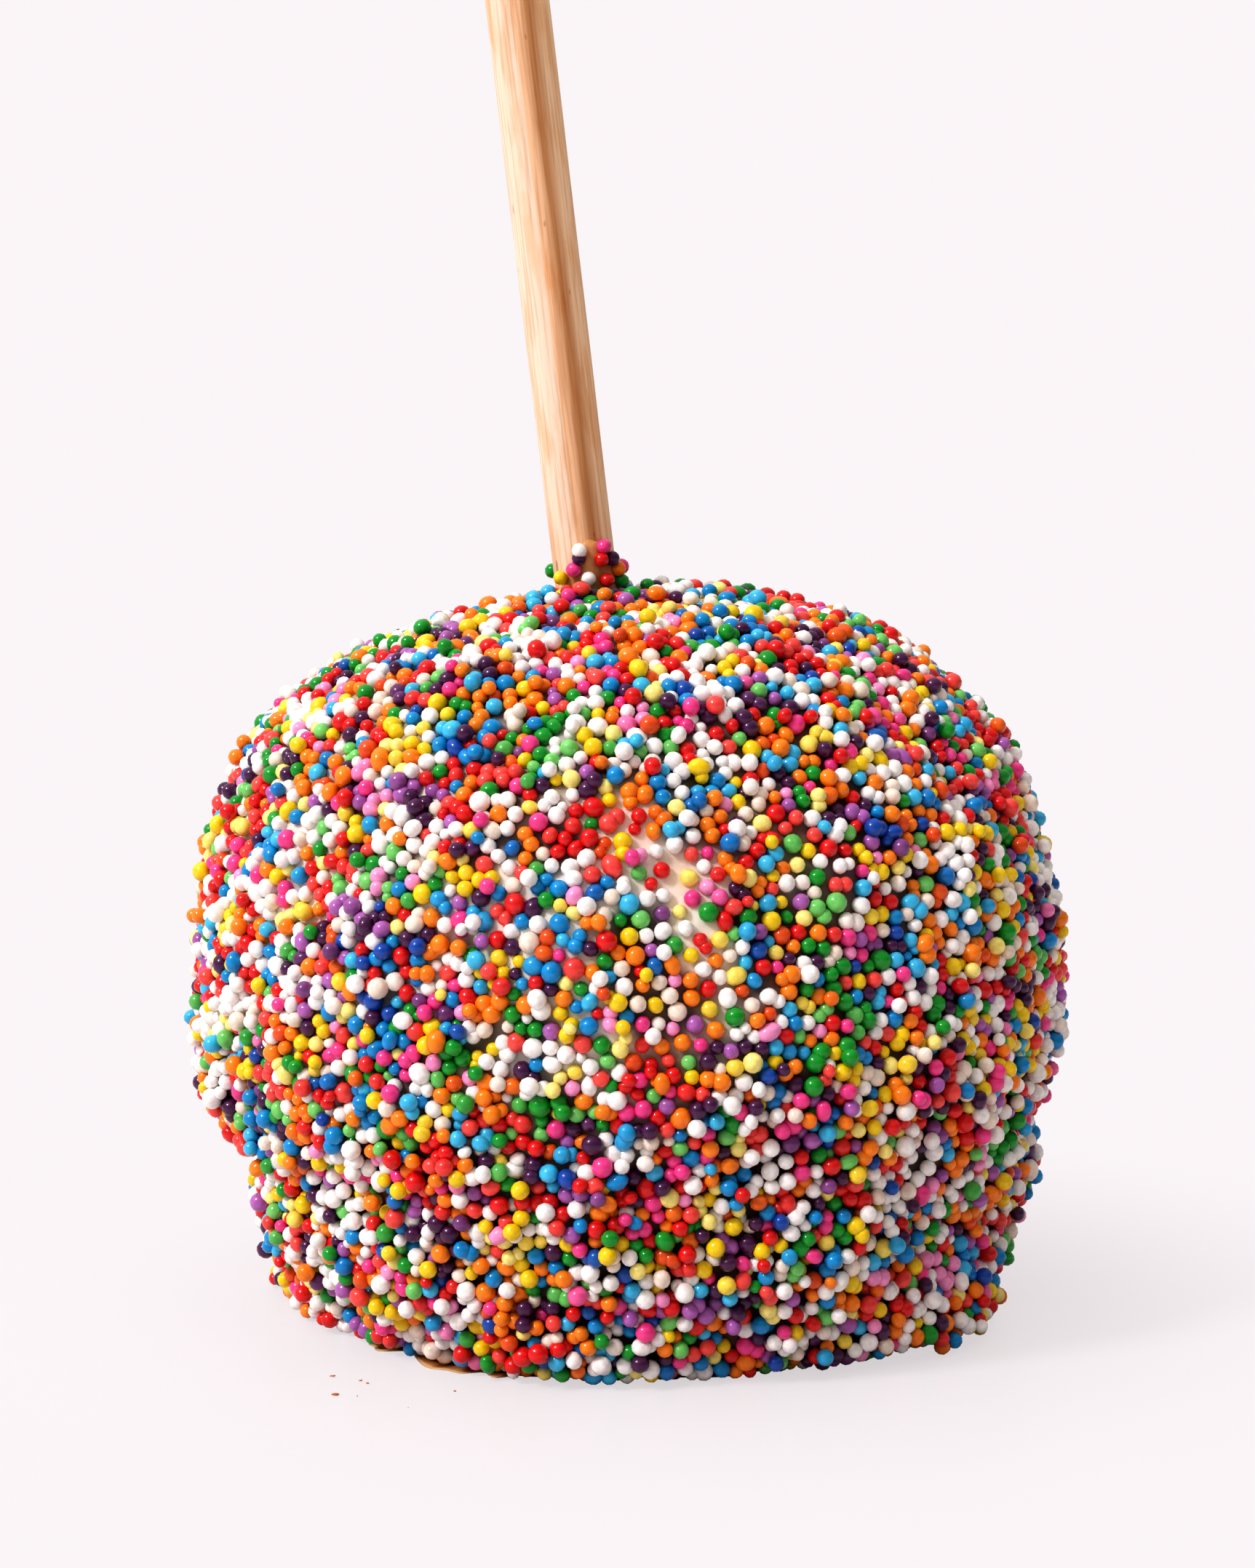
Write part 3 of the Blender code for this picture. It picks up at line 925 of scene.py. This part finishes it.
class StageLooks(bpy.types.PropertyGroup):
    """The paper, the lights and the lens."""

    paper: colour("Paper", "The floor", "D9D4D5")
    backdrop: colour("Backdrop", "What the camera sees behind", "D6D2D4")
    table_glow: bpy.props.FloatProperty(
        name="Table glow",
        description="Share of the floor's light that comes through it",
        min=0,
        max=1,
        default=0.72,
    )
    key: strength("Key light", "Strength of the soft sun", 1.6)
    key_tint: colour("Key tint", "Colour of the soft sun", "F9F8FF")
    overhead: strength("Overhead", "Strength of the wide sheet", 1.38)
    overhead_tint: colour("Overhead tint", "Colour of the wide sheet", "FFFBF6")
    fill: strength("Fill light", "Strength of the white studio", 0.66)
    lens: bpy.props.FloatProperty(
        name="Lens",
        description="Focal length on a 36 mm tall frame",
        subtype="DISTANCE_CAMERA",
        min=1,
        default=75.0,
    )


# ---------------------------------------------------------------- the coat

COAT_SIDES = 320
COAT_RINGS = 200
COAT_RINGS_TO_FOOT = 1.15  # above 1, the rings lie closer near the foot
RIM = 0.26 * MM  # how far the coat is drawn up round each nonpareil
DYE_REACH = 1.5 * MM
DYE_FROM = 3  # nearest nonpareils whose dye reaches a corner
DYE_FAINTEST = 1e-6  # the least amount that is divided by
STAIN_AND_SHADE = 0.5  # how strongly the dye shows, partly real bleed and partly painted shade between the nonpareils, and how much less on the bare places
STAIN_AND_SHADE_LESS = 0.38
SHADE_AND_THIN_ABOVE = 0.85  # how far dark brown is painted between them as shade, partly caramel through a thin coat, under one layer and under the piles
SHADE_AND_THIN_PILED = 0.92
SHOWN_GAIN = 1.7  # how sharply the bare places turn to plain white chocolate


def coat_corners():
    """The chocolate's rings from the foot up, as one array, and the point on top."""
    azimuths = 2 * math.pi * np.arange(COAT_SIDES) / COAT_SIDES
    low = foot_elevations(azimuths)
    rings = []
    for ring in range(COAT_RINGS):
        share = (ring / COAT_RINGS) ** COAT_RINGS_TO_FOOT
        ways = directions(azimuths, low + (math.pi / 2 - low) * share)
        rings.append(HEART + ways * bed_reach(ways)[:, None])
    up = np.array([[0.0, 0.0, 1.0]])
    corners = np.concatenate([*rings, HEART + up * bed_reach(up)[:, None]])
    corners[:COAT_SIDES, 2] = 0
    return corners


def coat_faces():
    """Quads between the rings, triangles round the top, and the flat foot."""
    faces = []
    for ring in range(COAT_RINGS - 1):
        start = ring * COAT_SIDES
        for side in range(COAT_SIDES):
            after = (side + 1) % COAT_SIDES
            faces.append((start + side, start + after, start + COAT_SIDES + after, start + COAT_SIDES + side))
    start = (COAT_RINGS - 1) * COAT_SIDES
    top = COAT_RINGS * COAT_SIDES
    for side in range(COAT_SIDES):
        faces.append((start + side, start + (side + 1) % COAT_SIDES, top))
    faces.append(tuple(reversed(range(COAT_SIDES))))
    return faces


def bedded(corners, beads, colours):
    """Draws the coat up round the nonpareils, and gives each corner the dye that bled into it, which also
    serves as painted shade.
    """
    tree = search_tree(beads.middles)
    _, outward = above_bed(corners)
    dyes = np.array([getattr(colours, shades[1]) for _, shades in KINDS.values()])
    lifts = np.zeros(len(corners))
    stains = np.zeros((len(corners), 4))
    for number, corner in enumerate(corners):
        total = 0.0
        for _, bead, far in tree.find_n(corner, DYE_FROM):
            near = math.exp(-((far / DYE_REACH) ** 4))
            total += near
            stains[number, :3] += near * dyes[beads.kinds[bead]]
            lifts[number] = max(lifts[number], 1 - abs(far - beads.radii[bead]) / beads.radii[bead])
        stains[number, :3] /= max(total, DYE_FAINTEST)
        stains[number, 3] = min(total, 1.0)
    moved = corners + outward * (RIM * np.clip(lifts, 0, 1) ** 2)[:, None]
    moved[corners[:, 2] <= 0, 2] = 0
    return moved, stains


class COATEDAPPLE_OT_coat(bpy.types.Operator):
    """Pours the white chocolate coat over the apple"""

    bl_idname = "coated_apple.coat"
    bl_label = "White Chocolate Coat"

    def execute(self, context):
        scene = context.scene
        corners = coat_corners()
        ways = from_heart(corners)
        shown = smooth(SHOWN_GAIN * np.maximum(bared(ways), glazed(ways)))
        moved, stains = bedded(corners, settled(), scene.sugar_colours)
        # The dye's strength: real bleed on the bare places, and more elsewhere as painted shade between the
        # nonpareils
        stains[:, 3] *= STAIN_AND_SHADE - STAIN_AND_SHADE_LESS * shown
        mesh = bpy.data.meshes.new("coat")
        mesh.from_pydata(moved.tolist(), [], coat_faces())
        mesh.shade_smooth()
        # Painted shade: dark brown between the nonpareils, partly caramel under a thin coat, more under the
        # piles and none on the bare places
        thin = (1 - shown) * (SHADE_AND_THIN_ABOVE + (SHADE_AND_THIN_PILED - SHADE_AND_THIN_ABOVE) * piled(ways))
        store(mesh, dye=stains, thin=thin)
        mesh.materials.append(chocolate_material(scene.coat_colours))
        finish_piece(placed_in_scene("coat", mesh), "coating", "coated_apple")
        return {"FINISHED"}


# ---------------------------------------------------------------- the nonpareils

LUMP_SIZE = 1.1 * MM
LUMP_GAIN = 4.0  # the noise seldom strays more than a quarter from its middle


def sprinkle_tree():
    """One uneven sugar bead on every point, by the point's own scale and turn."""
    sockets = {
        "Roundness": "Int",
        "Unevenness": "Float",
        "Lump size": "Float",
        "Seed": "Int",
        "Sugar": "Material",
    }
    tree, given, output = new_tree("Nonpareils", sockets)
    bead = add(tree, "GeometryNodeMeshIcoSphere", {"Radius": 1.0, "Subdivisions": given["Roundness"]})
    smooth_bead = add(tree, "GeometryNodeSetShadeSmooth", {"Geometry": bead.outputs["Mesh"]})
    scale = add(tree, "GeometryNodeInputNamedAttribute", {"Name": "scales"}, data_type="FLOAT_VECTOR")
    turn = add(tree, "GeometryNodeInputNamedAttribute", {"Name": "turns"}, data_type="FLOAT_VECTOR")
    on_points = {
        "Points": given["Geometry"],
        "Instance": smooth_bead.outputs["Geometry"],
        "Rotation": turn.outputs["Attribute"],
        "Scale": scale.outputs["Attribute"],
    }
    beads = add(tree, "GeometryNodeInstanceOnPoints", on_points).outputs["Instances"]
    real = add(tree, "GeometryNodeRealizeInstances", {"Geometry": beads}).outputs["Geometry"]

    # Lumps: a noise at each point of the real beads, with the seed as its fourth place.
    place = add(tree, "GeometryNodeInputPosition").outputs["Position"]
    fineness = add(tree, "ShaderNodeMath", {0: 1.0, 1: given["Lump size"]}, operation="DIVIDE").outputs
    noise = {"Vector": place, "W": given["Seed"], "Scale": fineness["Value"], "Detail": 1.0}
    lumps = add(tree, "ShaderNodeTexNoise", noise, noise_dimensions="4D").outputs["Fac"]
    height = add(tree, "ShaderNodeMath", {0: given["Unevenness"], 1: LUMP_GAIN}, operation="MULTIPLY")
    cleaned = roughened(tree, real, lumps, height.outputs["Value"])
    for name in ("scales", "turns"):
        used = {"Geometry": cleaned, "Name": name}
        cleaned = add(tree, "GeometryNodeRemoveAttribute", used).outputs["Geometry"]
    painted = add(tree, "GeometryNodeSetMaterial", {"Geometry": cleaned, "Material": given["Sugar"]})
    tree.links.new(painted.outputs["Geometry"], output.inputs["Geometry"])
    return tree


def points_mesh(name, middles, **attributes):
    """Bare vertices with their attributes."""
    mesh = bpy.data.meshes.new(name)
    mesh.vertices.add(len(middles))
    mesh.vertices.foreach_set("co", middles.ravel())
    store(mesh, **attributes)
    return mesh


class COATEDAPPLE_OT_nonpareils(bpy.types.Operator):
    """Rolls the coated apple in nonpareils, one piece for each kind"""

    bl_idname = "coated_apple.nonpareils"
    bl_label = "Nonpareils"

    def execute(self, context):
        scene = context.scene
        sizes = scene.nonpareil_sizes
        beads = settled()
        tree = sprinkle_tree()
        for number, kind in enumerate(KINDS):
            own = beads.kinds == number
            looks = {"scales": beads.scales[own], "turns": beads.turns[own], "shade": beads.shades[own]}
            values = {
                "Roundness": sizes.roundness,
                "Unevenness": sizes.unevenness,
                "Lump size": LUMP_SIZE,
                "Seed": sizes.seed,
                "Sugar": sugar_material(kind, scene.sugar_colours),
            }
            start = points_mesh(kind, beads.middles[own], **looks)
            finish_piece(grown(f"nonpareils_{kind}", start, tree, values), "coating")
        return {"FINISHED"}


# ---------------------------------------------------------------- the stick

DOWEL_RING_SPACING = 0.45 * MM
DOWEL_SIDES = 56
DOWEL_WAVE = 2.2 * MM  # round it; along it the waves are longer
DOWEL_STRETCH = (1, 1, 0.06)


def dowel_tree():
    """A rod along a line, with chamfered ends and a turned, slightly uneven side."""
    sockets = {
        "Radius": "Float",
        "Length": "Float",
        "Chamfer": "Float",
        "Ring spacing": "Float",
        "Sides": "Int",
        "Unevenness": "Float",
        "Foot": "Vector",
        "Up": "Vector",
        "Wood": "Material",
    }
    tree, given, output = new_tree("Dowel", sockets)
    axis = {"Start": given["Foot"], "Direction": given["Up"], "Length": given["Length"]}
    line = add(tree, "GeometryNodeCurvePrimitiveLine", axis, mode="DIRECTION").outputs["Curve"]
    spaced = {"Curve": line, "Length": given["Ring spacing"]}
    rings = add(tree, "GeometryNodeResampleCurve", spaced, mode="LENGTH").outputs["Curve"]
    along = add(tree, "GeometryNodeSplineParameter").outputs["Length"]
    left = add(tree, "ShaderNodeMath", {0: given["Length"], 1: along}, operation="SUBTRACT").outputs["Value"]
    to_end = add(tree, "ShaderNodeMath", {0: along, 1: left}, operation="MINIMUM").outputs["Value"]
    short = add(tree, "ShaderNodeMath", {0: given["Chamfer"], 1: to_end}, operation="SUBTRACT").outputs
    cut = add(tree, "ShaderNodeMath", {0: short["Value"], 1: 0.0}, operation="MAXIMUM").outputs["Value"]
    wide = add(tree, "ShaderNodeMath", {0: given["Radius"], 1: cut}, operation="SUBTRACT").outputs["Value"]
    sized = add(tree, "GeometryNodeSetCurveRadius", {"Curve": rings, "Radius": wide}).outputs["Curve"]
    ring = add(tree, "GeometryNodeCurvePrimitiveCircle", {"Resolution": given["Sides"], "Radius": 1.0})
    skin = {"Curve": sized, "Profile Curve": ring.outputs["Curve"], "Scale": wide, "Fill Caps": True}
    rod = add(tree, "GeometryNodeCurveToMesh", skin).outputs["Mesh"]
    place = add(tree, "GeometryNodeInputPosition").outputs["Position"]
    drawn = add(tree, "ShaderNodeVectorMath", {0: place, 1: DOWEL_STRETCH}, operation="MULTIPLY").outputs
    waved = {"Vector": drawn["Vector"], "Scale": 1 / DOWEL_WAVE, "Detail": 2.0}
    noise = add(tree, "ShaderNodeTexNoise", waved).outputs["Fac"]
    uneven = roughened(tree, rod, noise, given["Unevenness"])
    real = add(tree, "GeometryNodeRealizeInstances", {"Geometry": uneven}).outputs["Geometry"]
    smoothed = add(tree, "GeometryNodeSetShadeSmooth", {"Geometry": real}).outputs["Geometry"]
    painted = add(tree, "GeometryNodeSetMaterial", {"Geometry": smoothed, "Material": given["Wood"]})
    tree.links.new(painted.outputs["Geometry"], output.inputs["Geometry"])
    return tree


class COATEDAPPLE_OT_stick(bpy.types.Operator):
    """Turns the birch dowel"""

    bl_idname = "coated_apple.stick"
    bl_label = "Stick"

    def execute(self, context):
        looks = context.scene.stick_looks
        values = {
            "Radius": STICK_RADIUS,
            "Length": STICK_LENGTH,
            "Chamfer": STICK_CHAMFER,
            "Ring spacing": DOWEL_RING_SPACING,
            "Sides": DOWEL_SIDES,
            "Unevenness": looks.unevenness,
            "Foot": ENTRY - STICK_UP * STICK_SUNK,
            "Up": STICK_UP,
            "Wood": birch_material(looks),
        }
        dowel = grown("dowel", bpy.data.meshes.new("dowel_start"), dowel_tree(), values)
        finish_piece(dowel, "stick", "stick")
        return {"FINISHED"}


# ---------------------------------------------------------------- the caramel

FILM_SIDES = 64
FILM_RINGS = 14
FILM_THICKNESS = 0.22 * MM
FILM_FOOT = 64.0 * MM
FILM_RAGGED = 0.35 * MM
FILM_SKIN = 0.03 * MM  # how thick it still is at its edge
FILM_ROOT = 0.4 * MM  # how far its edge is turned into the wood

# The caramel that ran out from under the coat at the front left.
TRACE_AZIMUTHS = (-146, -103)
TRACE_STEPS = 48
TRACE_ENDS = (0.02, 0.98)  # shares of its length at which its ends are cut
TRACE_INSIDE = 1.0 * MM  # it starts so far under the coat
TRACE_WIDTH = 3.2 * MM
TRACE_NARROWEST = 1.2 * MM
TRACE_HEIGHT = 0.045 * MM
TRACE_RAGGED = 0.8 * MM
TRACE_WAVES = 5
TRACE_WAVE_LENGTH = (4.0 * MM, 12.0 * MM)
TRACE_SECTION = ((0, 0), (0, 1), (0.55, 0.8), (0.85, 0.45), (1, 0))  # shares of its width and height

# How thin the caramel is round the stick, and across the trace from coat to rim: 0 thick, 1 a mere stain.
FILM_THIN = (0.6,) * FILM_SIDES
TRACE_THIN = (0.0, 0.1, 0.35, 0.6, 0.9)

# Crumbs of caramel beside it: place on the table in millimetres, half length, and turn in degrees.
CRUMBS = (
    (-26.2, -31.2, 0.30, 10),
    (-23.6, -32.6, 0.20, 35),
    (-22.9, -33.4, 0.16, -20),
    (-25.4, -37.2, 0.36, 4),
    (-23.5, -37.5, 0.12, 60),
    (-15.1, -35.9, 0.14, 0),
    (-18.8, -41.0, 0.10, 0),
)
CRUMB_FLATNESS = (1.0, 0.45, 0.3)
CRUMB_SHAPE = {"Roundness": 2, "Unevenness": 0.05 * MM, "Lump size": 0.3 * MM, "Seed": 1}


def ring_mesh(name, rings, thin):
    """A skin over rings of corners, shut at both ends, and how thin it runs at each corner of a ring."""
    bm = bmesh.new()
    made = [[bm.verts.new(corner) for corner in ring] for ring in rings]
    for lower, upper in zip(made, made[1:]):
        for side in range(len(lower)):
            after = (side + 1) % len(lower)
            bm.faces.new((lower[side], lower[after], upper[after], upper[side]))
    bm.faces.new(reversed(made[0]))
    bm.faces.new(made[-1])
    bmesh.ops.recalc_face_normals(bm, faces=bm.faces)
    mesh = bpy.data.meshes.new(name)
    bm.to_mesh(mesh)
    bm.free()
    mesh.shade_smooth()
    store(mesh, thin=np.tile(thin, len(rings)))
    return placed_in_scene(name, mesh)


def film_rings():
    """The film round the foot of the stick, thinning out to an uneven edge that follows the climb."""
    rings = []
    for ring in range(FILM_RINGS + 2):
        share = min(ring, FILM_RINGS) / FILM_RINGS
        off = STICK_RADIUS + FILM_SKIN + FILM_THICKNESS * math.sqrt(1 - share**3)
        if ring > FILM_RINGS:
            off = STICK_RADIUS - FILM_ROOT
        corners = []
        for side in range(FILM_SIDES):
            angle = 2 * math.pi * side / FILM_SIDES
            uneven = FILM_RAGGED * math.sin(5 * angle) * math.sin(2 * angle + 1)
            height = FILM_FOOT + (climb(angle) + uneven - FILM_FOOT) * share
            corners.append(beside_stick(angle, height, off))
        rings.append(corners)
    return rings


def trace_rings():
    """Sections of the trace on the table, from the coat's foot outwards."""
    azimuths = np.linspace(*(math.radians(azimuth) for azimuth in TRACE_AZIMUTHS), TRACE_STEPS)
    ways = directions(azimuths, foot_elevations(azimuths))
    foot = np.linalg.norm((ways * bed_reach(ways)[:, None])[:, :2], axis=1)
    along = np.stack([azimuths * foot] * 3, axis=1)
    ragged = TRACE_RAGGED * waves(along, TRACE_WAVES, TRACE_WAVE_LENGTH, seed=11)
    taper = np.sqrt(np.sin(np.pi * np.linspace(*TRACE_ENDS, TRACE_STEPS)))
    wide = np.maximum(TRACE_WIDTH + ragged, TRACE_NARROWEST) * taper
    rings = []
    for azimuth, near, width, thick in zip(azimuths, foot - TRACE_INSIDE, wide, TRACE_HEIGHT * taper):
        corners = []
        for share, rise in TRACE_SECTION:
            off = near + share * (TRACE_INSIDE + width)
            x = HEART[0] + off * math.cos(azimuth)
            y = HEART[1] + off * math.sin(azimuth)
            corners.append((x, y, rise * thick))
        rings.append(corners)
    return rings


class COATEDAPPLE_OT_caramel(bpy.types.Operator):
    """Runs caramel round the foot of the stick and out under the front of the coat, and drops crumbs of it"""

    bl_idname = "coated_apple.caramel"
    bl_label = "Caramel"

    def execute(self, context):
        finish = caramel_material(context.scene.coat_colours)
        ringed = (("caramel_film", film_rings(), FILM_THIN), ("caramel_trace", trace_rings(), TRACE_THIN))
        for name, rings, thin in ringed:
            piece = ring_mesh(name, rings, thin)
            piece.data.materials.append(finish)
            finish_piece(piece, "coating")
        halves = np.array([half for _, _, half, _ in CRUMBS]) * MM
        scales = halves[:, None] * np.array(CRUMB_FLATNESS)
        middles = np.array([(x * MM, y * MM, 0) for x, y, _, _ in CRUMBS])
        middles[:, 2] = scales[:, 2] + FLOOR_CLEARANCE
        spins = np.array([(0, 0, math.radians(turn)) for _, _, _, turn in CRUMBS])
        start = points_mesh("crumbs", middles, scales=scales, turns=spins)
        crumbs = grown("caramel_crumbs", start, sprinkle_tree(), {**CRUMB_SHAPE, "Sugar": finish})
        finish_piece(crumbs, "coating")
        return {"FINISHED"}


# ---------------------------------------------------------------- stage

CAMERA_DISTANCE = 315.3 * MM
CAMERA_HEIGHT = 78.3 * MM
CAMERA_PITCH = math.radians(5.1)
CAMERA_NEAREST = 10 * MM
FRAME_HEIGHT = 36.0  # mm of film
KEY_FROM = Vector((-0.60, -0.45, 0.66))  # towards the light: high, in front and to the left
KEY_SIZE = math.radians(12)
OVERHEAD_FROM = Vector((-0.50, -0.25, 0.83))
OVERHEAD_SIZE = math.radians(115)
FILL_TINT = (1, 0.985, 0.98, 1)
# The white studio's brightness along each axis: from which place, and the shares there and at the far end.
STUDIO_SLOPES = (
    ("X", -1.0, 1.3, 0.6),  # bright at the left
    ("Y", -1.0, 0.5, 1.3),  # dark behind the camera
    ("Z", 0.0, 0.35, 1.0),  # dark near the table
)
FLOOR_HALF = 30.0  # metres
SWEEP_FROM = 30 * MM  # how far from the origin the floor begins to fade into the backdrop, and ends
SWEEP_TO = 100 * MM


def studio(looks):
    """The white studio that lights from all round, and the plain backdrop that the camera sees for it."""
    world = bpy.data.worlds.new("white_studio")
    world.use_nodes = True
    tree = world.node_tree
    tree.nodes.clear()
    rays = add(tree, "ShaderNodeLightPath")
    way = add(tree, "ShaderNodeTexCoord").outputs["Generated"]
    parts = add(tree, "ShaderNodeSeparateXYZ", {"Vector": way}).outputs
    glow = looks.fill
    for axis, start, low, high in STUDIO_SLOPES:
        slope = {"Value": parts[axis], "From Min": start, "To Min": low, "To Max": high}
        share = add(tree, "ShaderNodeMapRange", slope).outputs["Result"]
        glow = add(tree, "ShaderNodeMath", {0: glow, 1: share}, operation="MULTIPLY").outputs["Value"]
    fill = add(tree, "ShaderNodeBackground", {"Color": FILL_TINT, "Strength": glow})
    backdrop = add(tree, "ShaderNodeBackground", {"Color": (*looks.backdrop, 1), "Strength": 1.0})
    sides = {0: rays.outputs["Is Camera Ray"], 1: fill.outputs[0], 2: backdrop.outputs[0]}
    mixed = add(tree, "ShaderNodeMixShader", sides)
    add(tree, "ShaderNodeOutputWorld", {"Surface": mixed.outputs[0]})
    return world


class COATEDAPPLE_OT_stage(bpy.types.Operator):
    """Lays the paper and sets the lights and the camera"""

    bl_idname = "coated_apple.stage"
    bl_label = "Stage"

    def execute(self, context):
        scene = context.scene
        looks = scene.stage_looks
        bm = bmesh.new()
        bmesh.ops.create_grid(bm, x_segments=1, y_segments=1, size=FLOOR_HALF)
        mesh = bpy.data.meshes.new("paper")
        bm.to_mesh(mesh)
        bm.free()
        mesh.materials.append(paper_material(looks))
        placed_in_scene("paper", mesh)

        lights = (
            ("key", looks.key, looks.key_tint, KEY_FROM, KEY_SIZE),
            ("overhead", looks.overhead, looks.overhead_tint, OVERHEAD_FROM, OVERHEAD_SIZE),
        )
        for name, energy, tint, towards, spread in lights:
            sun = bpy.data.lights.new(name, "SUN")
            sun.energy = energy
            sun.angle = spread
            sun.color = tint
            lamp = placed_in_scene(name, sun)
            lamp.rotation_euler = towards.to_track_quat("Z", "Y").to_euler()
            lamp.visible_glossy = name == "key"
        scene.world = studio(looks)

        lens = bpy.data.cameras.new("camera")
        lens.lens = looks.lens
        lens.sensor_fit = "VERTICAL"
        lens.sensor_height = FRAME_HEIGHT
        lens.clip_start = CAMERA_NEAREST
        camera = placed_in_scene("camera", lens)
        camera.location = SHIFT + Vector((0, -CAMERA_DISTANCE, CAMERA_HEIGHT))
        camera.rotation_euler = (math.pi / 2 - CAMERA_PITCH, 0, 0)
        scene.camera = camera
        scene.view_settings.view_transform = "Standard"
        scene.view_settings.look = "High Contrast"
        return {"FINISHED"}


class COATEDAPPLE_PT_sidebar(bpy.types.Panel):
    """The settings and the pieces"""

    bl_label = "Coated Apple"
    bl_idname = "COATEDAPPLE_PT_sidebar"
    bl_space_type = "VIEW_3D"
    bl_region_type = "UI"
    bl_category = "Coated Apple"

    def draw(self, context):
        for name, group in SETTINGS.items():
            box = self.layout.box()
            box.label(text=group.__doc__)
            for setting in group.__annotations__:
                box.prop(getattr(context.scene, name), setting)
        for operator in OPERATORS:
            self.layout.operator(operator.bl_idname)


SETTINGS = {
    "nonpareil_sizes": NonpareilSizes,
    "sugar_colours": SugarColours,
    "coat_colours": CoatColours,
    "stick_looks": StickLooks,
    "stage_looks": StageLooks,
}
OPERATORS = (
    COATEDAPPLE_OT_coat,
    COATEDAPPLE_OT_nonpareils,
    COATEDAPPLE_OT_stick,
    COATEDAPPLE_OT_caramel,
    COATEDAPPLE_OT_stage,
)
REGISTERED = (*SETTINGS.values(), *OPERATORS, COATEDAPPLE_PT_sidebar)


def register():
    for made in REGISTERED:
        bpy.utils.register_class(made)
    for name, group in SETTINGS.items():
        setattr(bpy.types.Scene, name, bpy.props.PointerProperty(type=group))


def unregister():
    for name in SETTINGS:
        delattr(bpy.types.Scene, name)
    for made in reversed(REGISTERED):
        bpy.utils.unregister_class(made)


def main():
    register()
    bpy.ops.coated_apple.coat()
    bpy.ops.coated_apple.nonpareils()
    bpy.ops.coated_apple.stick()
    bpy.ops.coated_apple.caramel()
    bpy.ops.coated_apple.stage()


if __name__ == "__main__":
    main()
